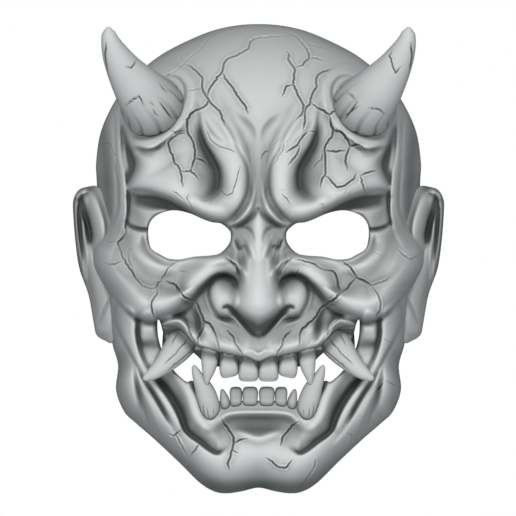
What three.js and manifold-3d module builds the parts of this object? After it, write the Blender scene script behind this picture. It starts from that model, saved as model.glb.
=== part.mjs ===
import * as THREE from "three";
import { mergeVertices } from "three/addons/utils/BufferGeometryUtils.js";
import Module from "manifold-3d";

// Demon face mask lying on its back rim: X to the right, Y to the top of the head, Z out of the face.
// The face is free form, so every form is stated in shares of the face height:
// 1 share = 1/469 of the height from chin to crown;
// u runs outwards from the middle, v upwards, z forwards.
const FACE_HEIGHT = 253;
const SHARES = 469;
const UNIT = FACE_HEIGHT / SHARES;
const WALL = 4.4;
const NECK_WIDTH = 112;
const NECK_HEIGHT = 52;
const NECK_RUN = 150;
const RIM_CUT = 2;
const MIDDLE_V = -10;

// Head outline seen from the front, crown to chin.
const HEAD = [[0, 234.5], [30, 231.8], [58, 223.5], [98, 203.5], [127, 179], [144, 157.5], [158, 127.5],
  [163, 97], [162.5, 77], [160, 40], [156, 0], [151, -45], [147, -85], [141, -108], [143, -133],
  [135, -154.5], [123, -166.5], [104.5, -182.5], [81, -205], [60, -226.5], [45.5, -236], [32.5, -238.5],
  [16.5, -236.5], [0, -233]];

// Openings cut through the wall.
const EYE = [[110, 27], [103, 41], [86, 47], [66, 43], [46, 35], [32, 30], [28, 21], [32, 10], [48, 2],
  [80, -2], [98, 3], [109, 15]];
const MOUTH = [[100, -63], [95, -75], [88, -87], [68, -93], [53, -105], [38, -110], [0, -113], [-38, -110],
  [-53, -105], [-68, -93], [-88, -87], [-95, -75], [-100, -63], [-102, -74], [-96, -93], [-82, -115],
  [-68, -124], [-58, -140], [-36, -143], [0, -143], [36, -143], [58, -140], [68, -124], [82, -115],
  [96, -93], [102, -74]];
const CUT_LOW = -30;
const CUT_HIGH = 300;

// Ground form of the head: depth at the brow, gain towards the mouth, loss at the jaw's edge,
// and how boxy it is at the brow and at the jaw.
const HEAD_DEPTH = 190;
const MOUTH_GAIN = 10;
const JAW_LOSS = 16;
const BROW_FALL = 3.1;
const JAW_FALL = 17;
const EDGE_ROUND = 0.45;

// Soft masses: middle u and v, half widths, height, turn in degrees.
const MASSES = [
  [73.5, 81.5, 40, 24, 7, 0], [75.5, 21.5, 38, 22, -12, 0], [146.5, 57.5, 12, 44, -11, 0],
  [82.5, -98.5, 26, 34, -14, 0], [114.5, -42.5, 28, 15, 9, 18], [152.5, -5.5, 14, 20, 6, 0],
  [58.5, -21.5, 17, 10, 6, -28], [50.5, 85.5, 13, 20, -8, -8], [134.5, -138.5, 11, 26, 9, 14],
  [108.5, -150.5, 24, 26, -6, 0], [52.5, -204.5, 26, 13, 5, 40], [0, -88.5, 50, 26, 11, 0],
  [0, -194.5, 26, 20, 10, 0], [0, 19.5, 11, 26, 9, 0], [0, 41.5, 9, 12, 7, 0], [0, 81.5, 10, 28, -8, 0],
];

// Domed wing of the nose: middle u and v, half widths, height.
const WING = { u: 36.5, v: -39.5, wide: 18, tall: 21, height: 17 };

// Layers that overhang on the right of the run: width of the rounded edge, then rows of
// u, v, height, reach under the edge on the left, reach over the layer on the right.
const LAYERS = {
  brow: { edge: 12, rows: [[138, 139, 0, 16, 6], [127, 114, 9, 24, 8], [122, 93, 12, 30, 9],
    [130, 70, 12, 32, 10], [113, 62, 15, 50, 15], [90, 57, 19, 54, 16], [62, 42, 20, 46, 12],
    [47, 37, 17, 36, 8], [33, 35, 9, 26, 5], [22, 36, 0, 16, 4]] },
  cheekbone: { edge: 14, rows: [[161, -10, 0, 16, 6], [151, -33, 11, 28, 10], [129, -56, 17, 38, 12],
    [100, -63, 18, 40, 13], [72, -51, 12, 28, 8], [55, -34, 0, 12, 5]] },
  cheek: { edge: 9, rows: [[66, -50, 0, 12, 5], [52, -28, 14, 26, 9], [43, -21, 16, 28, 10],
    [32, -17, 14, 26, 9], [17, -14, 0, 12, 5]] },
  lip: { edge: 6, rows: [[100, -67, 0, 8, 4], [82, -69, 9, 14, 6], [66, -83, 10, 16, 7],
    [44, -93, 9, 20, 7], [12, -99, 9, 24, 7], [0, -103, 9, 24, 7], [-12, -99, 9, 24, 7]] },
  jaw: { edge: 7, rows: [[26, -185, 0, 12, 4], [41, -194, 7, 18, 6], [57, -184, 7, 20, 6],
    [73, -172, 4, 18, 6], [78, -162, 0, 14, 6]] },
};

// Cords and furrows: how round they are, then rows of
// u, v, height, reach on the left, reach on the right.
const CORDS = {
  volute: { round: 0.6, rows: [[60, 165, 1, 12, 18], [48, 137, 8, 16, 21], [30, 107, 16, 18, 20],
    [22, 76, 21, 17, 15], [37, 50, 18, 14, 17], [64, 53, 5, 10, 12]] },
  dish: { round: 2, rows: [[60, 145, -2, 7, 12], [54, 113, -10, 11, 16], [42, 80, -10, 13, 15],
    [50, 61, -2, 10, 11]] },
  frown: { round: 2, rows: [[3, 77, 1, 6, 6], [5, 48, 9, 7, 7], [21, 33, 9, 7, 7], [38, 34, 0, 5, 5]] },
  nose: { round: 0.6, rows: [[0, 35, 0, 8, 8], [0, 3, 15, 12, 12], [0, -24, 35, 21, 21],
    [0, -36, 42, 24, 24], [0, -45, 42, 25, 25], [0, -55, 30, 23, 23], [0, -63, 16, 16, 16]] },
  nostril: { round: 2, rows: [[33, -51, -5, 7, 7], [22, -56, -14, 8, 8], [8, -75, -3, 6, 6]] },
  temple: { round: 2, rows: [[144, 120, 2, 8, 8], [138, 60, 11, 10, 10], [142, 30, 11, 12, 12],
    [157, 3, 7, 15, 15], [159, -10, 2, 14, 14]] },
  wedge: { round: 2, rows: [[136, 135, -3, 6, 6], [132, 103, -12, 9, 9], [128, 77, -3, 7, 7]] },
  crest: { round: 2, rows: [[162, 11, 2, 13, 13], [145, -20, 5, 17, 17], [108, -42, 4, 18, 18],
    [86, -40, 2, 15, 15]] },
  lipFold: { round: 2, rows: [[96, -65, 2, 6, 6], [79, -58, 9, 8, 8], [66, -70, 8, 8, 8],
    [61, -81, 3, 6, 6]] },
  toothBed: { round: 2, rows: [[60, -96, -2, 6, 5], [36, -106, -10, 9, 7], [0, -111, -10, 9, 7],
    [-12, -110, -10, 9, 7]] },
  gum: { round: 0.6, rows: [[86, -108, 1, 8, 8], [70, -128, 10, 9, 9], [60, -155, 12, 9, 9],
    [53, -162, 10, 9, 9], [35, -155, 8, 9, 9], [0, -152, 8, 9, 8], [-12, -152, 8, 9, 8]] },
  chinHollow: { round: 2, rows: [[33, -166, -3, 8, 8], [12, -166, -14, 11, 9], [0, -167, -14, 12, 9],
    [-12, -166, -14, 11, 9]] },
  furrow: { round: 2, rows: [[102, -120, -2, 7, 7], [84, -144, -14, 10, 8], [69, -172, -14, 10, 10],
    [47, -188, -10, 8, 10], [38, -189, -4, 6, 8]] },
  innerStrap: { round: 2, rows: [[110, -60, 5, 9, 10], [106, -89, 9, 9, 10], [90, -118, 2, 8, 8]] },
  middleStrap: { round: 2, rows: [[140, -46, 4, 9, 9], [127, -77, 12, 11, 11], [111, -114, 7, 9, 9],
    [92, -147, 10, 10, 10], [78, -173, 2, 9, 9]] },
  outerStrap: { round: 2, rows: [[150, -46, 3, 7, 7], [142, -80, 7, 8, 8], [124, -118, 7, 8, 8],
    [105, -156, 7, 9, 9], [82, -190, 1, 8, 8]] },
  groove: { round: 2, rows: [[126, -92, -2, 7, 7], [120, -124, -10, 9, 9], [113, -158, -10, 9, 9],
    [100, -182, -1, 7, 7]] },
  collar: { round: 2, rows: [[100, 187, 2, 10, 6], [74, 177, 7, 14, 6], [70, 160, 8, 15, 6],
    [87, 125, 8, 11, 6], [113, 116, 7, 10, 6], [138, 127, 2, 7, 5]] },
};

// Swept solids: rows of u, v, z, radius across, radius front to back.
const HORN = [[96, 138, 72, 20, 20], [102, 146, 116, 30, 30], [106, 151, 148, 32, 31],
  [110, 156.5, 174, 29, 29], [120, 168.5, 194, 24.5, 24.5], [132.5, 185.5, 211, 18.5, 18.5],
  [142, 202, 224, 13.5, 13.5], [147.5, 216, 233, 9, 9], [149.5, 229, 238, 5, 5]];
const TUSK = [[64, -74, 172, 15, 11], [76, -86, 186, 15.5, 12], [91, -99, 200, 11.5, 10],
  [104, -112, 209, 7, 7], [114.5, -121.5, 213, 2.6, 2.6]];
const FANG = [[47, -87.5, 188, 9, 8], [48, -98.5, 198, 9.5, 8], [50, -112.5, 204, 6.5, 6],
  [51.5, -126.5, 203, 2, 2]];
const CANINE = [[45.5, -163.5, 172, 9, 7], [48.5, -148.5, 186, 10.5, 8], [52, -135.5, 192, 11.2, 8.5],
  [57, -124.5, 196, 8.5, 7.5], [62, -113.5, 199, 5, 5], [65, -106.5, 200, 1.8, 1.8]];
const SMALL_CANINE = [[32, -156.5, 180, 4.6, 5.5], [32.5, -149.5, 191, 5, 6], [34, -140.5, 195, 4.6, 5.5],
  [36.5, -130.5, 197, 1.8, 1.8]];
const PREMOLAR = [[64, -152, 170, 6, 6], [67, -139, 181, 5.8, 5.5], [67, -122.5, 187, 3.2, 3.2]];

// Front teeth: middle u, half width, top v, bottom v.
const UPPER_TEETH = [[9.8, 9.8, -99, -121], [29, 9.3, -97, -117]];
const LOWER_TEETH = [[8.3, 7.9, -133, -152], [22.5, 6.3, -133, -152]];
const TOOTH_DEPTH = 7.5;
const UPPER_TOOTH_Z = 204;
const LOWER_TOOTH_Z = 195;

// Ear plate standing behind the cheek: middle, height of its foot, height of its face, rolled rim, bowl.
const EAR = { u: 164, v: -8, z: 26, thick: 18, roll: 12, dish: 9 };
const EAR_LINE = [[160, 70], [171, 70.5], [181, 67], [186, 58], [186, 46], [183, 15], [179, -12],
  [170, -38], [165, -65], [163, -80], [154, -85], [146, -84], [140, -60], [138, -20], [142, 20], [150, 52]];

const CURVE = 0.5;
const smooth = (t) => { const c = Math.min(1, Math.max(0, t)); return c * c * (3 - 2 * c); };

// Smooth run through rows of numbers, all columns together.
function run(rows, closed = false, steps = 5) {
  const last = rows.length - 1;
  const at = (i) => closed ? rows[(i + rows.length) % rows.length] : rows[Math.min(last, Math.max(0, i))];
  const spans = closed ? rows.length : rows.length - 1;
  const out = [];
  for (let i = 0; i < spans; i++) {
    for (let k = 0; k < steps; k++) {
      const t = k / steps;
      out.push(at(i).map((b, c) => {
        const a = at(i - 1)[c], d = at(i + 1)[c], e = at(i + 2)[c];
        return CURVE * (2 * b + (d - a) * t + (2 * a - 5 * b + 4 * d - e) * t * t
          + (3 * b - a - 3 * d + e) * t ** 3);
      }));
    }
  }
  out.push(closed ? out[0] : at(spans));
  return out;
}

// Nearest place on a run: distance, side and the other columns there.
function nearest(line, u, v, reach) {
  let best = { d2: reach * reach, side: 0, row: null };
  for (let i = 0; i + 1 < line.length; i++) {
    const a = line[i], b = line[i + 1], eu = b[0] - a[0], ev = b[1] - a[1];
    const t = Math.min(1, Math.max(0, ((u - a[0]) * eu + (v - a[1]) * ev) / (eu * eu + ev * ev || 1)));
    const du = u - a[0] - t * eu, dv = v - a[1] - t * ev, d2 = du * du + dv * dv;
    if (d2 >= best.d2) continue;
    best = { d2, side: Math.sign(eu * dv - ev * du), row: a.map((x, c) => x + (b[c] - x) * t) };
  }
  return { ...best, d: Math.sqrt(best.d2) };
}

// Radius of a closed outline around a middle point, in each direction.
function radiusOf(line, mu, mv) {
  const polar = line.map(([u, v]) => [Math.atan2(u - mu, v - mv), Math.hypot(u - mu, v - mv)]);
  polar.sort((a, b) => a[0] - b[0]);
  const first = polar[0], last = polar[polar.length - 1];
  polar.unshift([last[0] - 2 * Math.PI, last[1]]);
  polar.push([first[0] + 2 * Math.PI, first[1]]);
  return (angle) => {
    const i = Math.max(1, polar.findIndex((p) => p[0] >= angle));
    const [a, ra] = polar[i - 1], [b, rb] = polar[i];
    return ra + (rb - ra) * (angle - a) / (b - a || 1);
  };
}

const wholeHead = [...HEAD, ...HEAD.slice(1, -1).reverse().map(([u, v]) => [-u, v])];
const headRadius = radiusOf(run(wholeHead, true), 0, MIDDLE_V);
const prepared = (strokes) => Object.values(strokes).map((stroke) => {
  const line = run(stroke.rows);
  const reach = Math.max(...line.map((r) => Math.max(r[3], r[4])));
  const area = new THREE.Box2().setFromPoints(line.map(([u, v]) => new THREE.Vector2(u, v)));
  return { ...stroke, line, reach, area: area.expandByScalar(reach) };
});
const layers = prepared(LAYERS);
const cords = prepared(CORDS);

function ground(u, v) {
  const share = Math.hypot(u, v - MIDDLE_V) / headRadius(Math.atan2(u, v - MIDDLE_V));
  if (share >= 1) return 0;
  const low = smooth((37.5 - v) / 190);
  const depth = HEAD_DEPTH + MOUTH_GAIN * smooth((160.5 - v) / 260) - JAW_LOSS * low * share ** 2;
  return depth * (1 - share ** (BROW_FALL + JAW_FALL * low)) ** EDGE_ROUND;
}

function carving(u, v) {
  let z = 0;
  for (const [mu, mv, ru, rv, h, turn] of MASSES) {
    const c = Math.cos(turn * Math.PI / 180), s = Math.sin(turn * Math.PI / 180);
    const p = ((u - mu) * c + (v - mv) * s) / ru, q = ((v - mv) * c - (u - mu) * s) / rv;
    z += h * Math.exp(-0.5 * (p * p + q * q));
  }
  z += WING.height * Math.max(0, 1 - ((u - WING.u) / WING.wide) ** 2 - ((v - WING.v) / WING.tall) ** 2);
  const spot = new THREE.Vector2(u, v);
  for (const { line, reach, area, edge } of layers) {
    if (!area.containsPoint(spot)) continue;
    const near = nearest(line, u, v, reach);
    if (!near.row) continue;
    const [, , h, over, under] = near.row;
    if (near.side < 0 && near.d < over) {
      const fade = smooth((near.d - edge) / Math.max(over - edge, 1e-6));
      z += h * Math.sqrt(1 - (1 - Math.min(1, near.d / edge)) ** 2) * (1 - fade);
    } else if (near.side >= 0 && near.d < under) {
      z -= 0.3 * h * (1 - near.d / under) ** 2;
    }
  }
  for (const { line, reach, area, round } of cords) {
    if (!area.containsPoint(spot)) continue;
    const near = nearest(line, u, v, reach);
    if (!near.row) continue;
    const t = near.d / (near.side >= 0 ? near.row[3] : near.row[4]);
    if (t < 1) z += near.row[2] * (1 - t * t) ** round;
  }
  return z;
}

function height(x, v) {
  const u = Math.abs(x), g = ground(u, v);
  return g + carving(u, v) * Math.min(1, g / 90);
}

// Front surface averaged over a small patch so that no edge is narrower than the facets.
function soft(x, v, patch = 5) {
  let sum = 0;
  for (const a of [-1, 0, 1])
    for (const b of [-1, 0, 1]) sum += (2 - a * a) * (2 - b * b) * height(x + a * patch, v + b * patch);
  return sum / 16;
}

// Inner surface: everywhere at least one wall thickness away from the front surface.
function inner(x, v) {
  const w = WALL / UNIT;
  let z = soft(x, v) - w;
  for (let k = 0; k < 12; k++) {
    const c = Math.cos(k * Math.PI / 6), s = Math.sin(k * Math.PI / 6);
    z = Math.min(z, height(x + w * c, v + w * s), height(x + w * 0.7 * c, v + w * 0.7 * s) - w * 0.7);
  }
  return z;
}

const wasm = await Module();
wasm.setup();

function solid(geometry) {
  const bare = new THREE.BufferGeometry();
  bare.setAttribute("position", geometry.getAttribute("position").clone());
  bare.setIndex(geometry.getIndex());
  const merged = mergeVertices(bare, 1e-4);
  const index = [];
  const idx = merged.getIndex().array;
  for (let i = 0; i < idx.length; i += 3) {
    const [a, b, c] = [idx[i], idx[i + 1], idx[i + 2]];
    if (a !== b && b !== c && c !== a) index.push(a, b, c);
  }
  return new wasm.Manifold(new wasm.Mesh({
    numProp: 3,
    vertProperties: new Float32Array(merged.getAttribute("position").array),
    triVerts: new Uint32Array(index),
  }));
}

// Closed shield: a ringed disc stretched over an outline, with a front and a flat or shaped back.
function shield(mu, mv, radius, front, back, around, rings, spread = (s) => s) {
  const disc = new THREE.RingGeometry(0, 1, around, rings);
  const back_ = new THREE.RingGeometry(0, 1, around, back.rings ?? 1);
  const shape = (geometry, zOf) => {
    const p = geometry.getAttribute("position");
    for (let i = 0; i < p.count; i++) {
      const s = Math.min(1, Math.hypot(p.getX(i), p.getY(i)));
      const angle = s > 1e-6 ? Math.atan2(p.getX(i), p.getY(i)) : 0;
      const share = s > 0.999999 ? 1 : spread(s);
      const reach = share * radius(angle);
      const u = mu + reach * Math.sin(angle), v = mv + reach * Math.cos(angle);
      p.setXYZ(i, u, v, zOf(u, v, share));
    }
    return geometry;
  };
  shape(disc, front);
  shape(back_, back.z);
  const index = [...disc.getIndex().array];
  const flip = [...back_.getIndex().array];
  const offset = disc.getAttribute("position").count;
  for (let i = 0; i < flip.length; i += 3)
    index.push(offset + flip[i], offset + flip[i + 2], offset + flip[i + 1]);
  const both = new THREE.BufferGeometry();
  both.setAttribute("position", new THREE.Float32BufferAttribute(
    [...disc.getAttribute("position").array, ...back_.getAttribute("position").array], 3));
  both.setIndex(index);
  return both;
}

// Solid swept along rows of u, v, z, radius across and radius front to back, with optional flutes.
function swept(rows, around, along, flutes = 0, depth = 0, square = 2) {
  const path = new THREE.CatmullRomCurve3(rows.map(([u, v, z]) => new THREE.Vector3(u, v, z)));
  const geometry = new THREE.SphereGeometry(1, around, along);
  const p = geometry.getAttribute("position");
  const last = rows.length - 1;
  for (let i = 0; i < p.count; i++) {
    const t = Math.acos(Math.min(1, Math.max(-1, p.getY(i)))) / Math.PI;
    const angle = Math.atan2(p.getZ(i), p.getX(i));
    const pole = Math.hypot(p.getX(i), p.getZ(i)) < 1e-6;
    const k = Math.min(last - 1, Math.floor(t * last)), f = t * last - k;
    const across = rows[k][3] + (rows[k + 1][3] - rows[k][3]) * f;
    const deep = rows[k][4] + (rows[k + 1][4] - rows[k][4]) * f;
    const ahead = path.getTangent(t);
    const side = new THREE.Vector3(ahead.y, -ahead.x, 0).normalize();
    const out = new THREE.Vector3().crossVectors(ahead, side).normalize();
    const sum = Math.abs(Math.cos(angle)) ** square + Math.abs(Math.sin(angle)) ** square;
    const round = sum ** (-1 / square);
    const flute = 1 + depth * (1 - t) * Math.cos(flutes * angle);
    const r = pole ? 0 : round * flute;
    const q = path.getPoint(t).addScaledVector(side, r * across * Math.cos(angle))
      .addScaledVector(out, r * deep * Math.sin(angle));
    p.setXYZ(i, q.x, q.y, q.z);
  }
  return solid(geometry);
}

const mirror = (body) => body.mirror([1, 0, 0]);
const both = (body) => [body, mirror(body)];

// Bar of an outline, standing through the whole depth.
function bar(line, low, high) {
  const shape = new THREE.Shape(line.map(([u, v]) => new THREE.Vector2(u, v)));
  const geometry = new THREE.ExtrudeGeometry(shape, { depth: high - low, bevelEnabled: false });
  geometry.translate(0, 0, low);
  return solid(geometry);
}

// Shell of the face.
const ringPlaces = (s) => s < 0.8 ? s * 1.05 : 0.84 + 0.16 * Math.sin((s - 0.8) / 0.2 * Math.PI / 2);
const INSET = 1.12 * WALL / UNIT;
const outer = solid(shield(0, MIDDLE_V, headRadius, (u, v, s) => s >= 1 ? 0 : Math.max(0.5, soft(u, v)),
  { z: () => 0 }, 72, 27, ringPlaces));
const hollow = solid(shield(0, MIDDLE_V, (a) => headRadius(a) - INSET,
  (u, v, s) => s >= 1 ? 0 : Math.max(6, inner(u, v)), { z: () => 0 }, 40, 12, ringPlaces));
const under = bar(run(wholeHead, true, 3).map(([u, v]) =>
  [u * (1 - INSET / HEAD[8][0]), MIDDLE_V + (v - MIDDLE_V) * (1 - INSET / HEAD[0][1])]), CUT_LOW, RIM_CUT);
let shell = outer.subtract(hollow).subtract(under);
const eye = bar(run(EYE, true, 3).slice(0, -1), CUT_LOW, CUT_HIGH);
const mouth = bar(run(MOUTH, true, 2).slice(0, -1), CUT_LOW, CUT_HIGH);
for (const cut of [...both(eye), mouth]) shell = shell.subtract(cut);

// Arch for the neck through the lower wall.
const arch = new THREE.CylinderGeometry(1, 1, NECK_RUN, 32, 1);
arch.scale(NECK_WIDTH / 2 / UNIT, 1, NECK_HEIGHT / UNIT);
arch.translate(0, HEAD[HEAD.length - 1][1], 0);
shell = shell.subtract(solid(arch));

// Solids standing out of the shell.
const tooth = ([u, half, top, bottom], z, upper) => swept(upper
  ? [[u, top + 6, z - 8, half * 0.9, TOOTH_DEPTH], [u, top, z, half * 0.95, TOOTH_DEPTH],
    [u, bottom + 3, z, half, TOOTH_DEPTH], [u, bottom, z - 1, half * 0.8, TOOTH_DEPTH * 0.7]]
  : [[u, bottom - 6, z - 10, half * 0.8, TOOTH_DEPTH], [u, bottom, z - 4, half * 0.85, TOOTH_DEPTH],
    [u, top - 3, z, half, TOOTH_DEPTH], [u, top, z - 1, half * 0.85, TOOTH_DEPTH * 0.7]],
  8, 5, 0, 0, 3.2);
const parts = [
  ...both(swept(HORN, 13, 10, 6, 0.05).subtract(hollow)),
  ...both(swept(TUSK, 8, 7, 4, 0.06)),
  ...both(swept(FANG, 6, 6)),
  ...both(swept(CANINE, 6, 6)),
  ...both(swept(SMALL_CANINE, 6, 5)),
  ...both(swept(PREMOLAR, 6, 5)),
  ...UPPER_TEETH.flatMap((row) => both(tooth(row, UPPER_TOOTH_Z, true))),
  ...LOWER_TEETH.flatMap((row) => both(tooth(row, LOWER_TOOTH_Z, false))),
];

const earLine = run(EAR_LINE, true, 3);
const earRadius = radiusOf(earLine, EAR.u, EAR.v);
const ear = solid(shield(EAR.u, EAR.v, earRadius, (u, v, s) => {
  if (s >= 1) return EAR.z;
  const edge = Math.sqrt(Math.max(0, 1 - s ** 6));
  return EAR.z + EAR.thick * edge + EAR.roll * Math.exp(-(((s - 0.82) / 0.13) ** 2))
    - EAR.dish * (1 - smooth((s - 0.3) / 0.4));
}, { z: () => EAR.z }, 26, 6));
parts.push(...both(ear.subtract(hollow)));

const mask = parts.reduce((body, part) => body.add(part), shell);

const made = mask.getMesh();
const geometry = new THREE.BufferGeometry();
const places = new Float32Array(made.numVert * 3);
for (let i = 0; i < made.numVert; i++)
  for (let c = 0; c < 3; c++) places[3 * i + c] = made.vertProperties[made.numProp * i + c] * UNIT;
geometry.setAttribute("position", new THREE.BufferAttribute(places, 3));
geometry.setIndex(new THREE.BufferAttribute(new Uint32Array(made.triVerts), 1));
geometry.computeBoundingBox();
geometry.translate(0, -(geometry.boundingBox.min.y + geometry.boundingBox.max.y) / 2, 0);
geometry.computeVertexNormals();

const resin = new THREE.MeshStandardMaterial({ color: 0xb9b9b7, roughness: 0.62, metalness: 0 });
const mesh = new THREE.Mesh(geometry, resin);
mesh.name = "mask";
const group = new THREE.Group();
group.name = "oni_mask";
group.add(mesh);
export default group;
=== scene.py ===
"""Oni mask: a carved face shell with horns, ears, teeth and tusks, lying on its back rim."""

import logging
import math
from collections.abc import Callable
from dataclasses import dataclass
from enum import Enum

import bmesh
import bpy
import numpy as np
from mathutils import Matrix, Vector


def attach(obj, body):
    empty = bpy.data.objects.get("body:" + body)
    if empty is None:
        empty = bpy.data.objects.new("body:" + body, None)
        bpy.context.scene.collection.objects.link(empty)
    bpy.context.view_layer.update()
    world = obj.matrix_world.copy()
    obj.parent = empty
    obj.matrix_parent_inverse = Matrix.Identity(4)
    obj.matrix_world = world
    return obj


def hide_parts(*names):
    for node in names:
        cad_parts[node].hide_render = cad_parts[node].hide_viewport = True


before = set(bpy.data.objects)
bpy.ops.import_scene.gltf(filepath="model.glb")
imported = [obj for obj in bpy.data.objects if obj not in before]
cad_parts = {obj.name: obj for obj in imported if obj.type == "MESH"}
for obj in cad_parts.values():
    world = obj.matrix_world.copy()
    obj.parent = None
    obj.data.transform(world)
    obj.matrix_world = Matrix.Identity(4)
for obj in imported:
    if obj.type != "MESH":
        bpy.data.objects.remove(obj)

LOG = logging.getLogger("oni_mask")

Rows = tuple[tuple[float, ...], ...]
Heights = Callable[[np.ndarray, np.ndarray], np.ndarray]

# Front drawing: x to the right and y down, in shares of which 469 make the height of the face
FACE_HEIGHT = 0.253
SHARE = FACE_HEIGHT / 469
MID_X, MID_Y = 258.5, 257.5
CENTRE_Y = 267.5
SHIFT = -1.12
SHEET_LEFT, SHEET_TOP, SHEET_LOW = 62.5, 12.5, 506.5

# Wall of the shell, and the neck arch: half width, rise, middle below the face's middle, length
WALL = 8.16
NECK_HALF, NECK_RISE, NECK_Y, NECK_LENGTH = 103.8, 96.4, -215, 160

# Ground form of the head: depth at the brow, gain towards the mouth, loss at the jaw's edge,
# how boxy it is at the brow and at the jaw, and where the gain and the jaw begin
HEAD_DEPTH, MOUTH_GAIN, JAW_LOSS = 190, 10, 16
BROW_FALL, JAW_FALL, EDGE_ROUND = 3.1, 17, 0.45
GAIN_TOP, GAIN_SPAN, JAW_TOP, JAW_SPAN = 97, 260, 220, 190
FULL_CARVING_DEPTH = 90

# Directions and distances in which a place looks for what hides the sky
HORIZON_TURNS = 12
HORIZON_REACH = (1.5, 3, 5, 8, 12, 18, 26)

# Ball that keeps the back one wall away from the front: rings, directions, softening and slack
BALL_RINGS, BALL_TURNS = (1.0, 0.85, 0.5), 16
BACK_BLUR, BACK_SLACK = 1.5, 0.6

# Outline of the head on the left half, crown to chin
HEAD = (
    (258.5, 23), (228.5, 25.7), (200.5, 34), (160.5, 54), (131.5, 78.5), (114.5, 100), (100.5, 130),
    (95.5, 160.5), (96, 180.5), (97, 205), (98.5, 228), (94.5, 241), (91, 252), (91.5, 265), (97, 278),
    (103.5, 290), (107.5, 304), (111.5, 342.5), (117.5, 365.5), (115.5, 390.5), (123.5, 412), (135.5, 424),
    (154, 440), (177.5, 462.5), (198.5, 484), (213, 493.5), (226, 496), (242, 494), (258.5, 490.5),
)
EYE = (
    (148.5, 230.5), (150.5, 222.5), (155.5, 216.5), (163.5, 212.5), (172.5, 210.5), (182.5, 211.5),
    (192.5, 214.5), (203.5, 219.5), (212.5, 222.5), (220.5, 223.5), (226.5, 227.5), (230.5, 232.5),
    (230.5, 240.5), (226.5, 247.5), (219.5, 253.5), (210.5, 255.5), (195.5, 256.5), (185.5, 258.5),
    (178.5, 259.5), (168.5, 258.5), (160.5, 254.5), (152.5, 249.5), (149.5, 242.5),
)
MOUTH = (
    (158, 320.5), (160.5, 321.5), (163.5, 332.5), (167.5, 343.5), (175.5, 346.5), (190.5, 350.5),
    (197.5, 355.5), (205.5, 362.5), (220.5, 366.5), (240.5, 369.5), (258.5, 370), (276.5, 369.5),
    (276.5, 400), (258.5, 400), (236, 400), (222.5, 400.5), (210.5, 399), (200.5, 397.5), (194, 389),
    (190.5, 382), (185.5, 380.5), (176.5, 372.5), (168.5, 362.5), (162.5, 350.5), (158.5, 335.5),
)
MOUTH_LOOP = MOUTH[:11] + tuple((2 * MID_X - x, y) for x, y in MOUTH[9::-1]) + tuple(
    (2 * MID_X - x, y) for x, y in MOUTH[:13:-1]) + MOUTH[14:]
EYE_ROLL, MOUTH_ROLL = 4.0, 3.0


class Form(Enum):
    """How the surface follows a line of the drawing."""

    CORD = "raised or sunk round cord"
    SOFT = "cord that eases out on both sides"
    CREASE = "sharp valley that opens to both sides"
    STEP = "edge of a layer, raised on the left of the run"
    BAND = "flat strap with round shoulders"


@dataclass(frozen=True)
class Stroke:
    """One carved line: rows of x, y, height, reach on the left and reach on the right of the run."""

    name: str
    form: Form
    rows: Rows
    edge: float = 6.0
    soften: int = 0


@dataclass(frozen=True)
class Mass:
    """A soft hill or hollow: middle, half widths, height and turn in degrees."""

    x: float
    y: float
    wide: float
    tall: float
    height: float
    turn: float = 0.0


@dataclass(frozen=True)
class Lump:
    """A domed lump with a clear foot: middle, half widths, height, roundness and turn in degrees."""

    x: float
    y: float
    wide: float
    tall: float
    height: float
    power: float
    turn: float = 0.0


MASSES = (
    Mass(185, 176, 40, 24, 7),
    Mass(183, 236, 38, 22, -12),
    Mass(110, 200, 11, 44, -10),
    Mass(176, 356, 26, 34, -14),
    Mass(144, 300, 28, 15, 9, 18),
    Mass(106, 263, 14, 18, 5),
    Mass(200, 279, 17, 10, 6, -28),
    Mass(208, 172, 13, 20, -8, -8),
    Mass(124, 396, 11, 26, 9, 14),
    Mass(150, 408, 24, 26, -6),
    Mass(221, 432, 11, 12, -7, -30),
    Mass(206, 462, 26, 13, 5, 40),
)
MIDDLE_MASSES = (
    Mass(258.5, 346, 50, 26, 11),
    Mass(258.5, 452, 26, 20, 10),
    Mass(258.5, 238, 11, 26, 9),
    Mass(258.5, 216, 9, 12, 7),
    Mass(258.5, 176, 10, 28, -3),
)
LUMPS = (Lump(222, 297, 18, 21, 17, 1.0, -10),)

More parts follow.
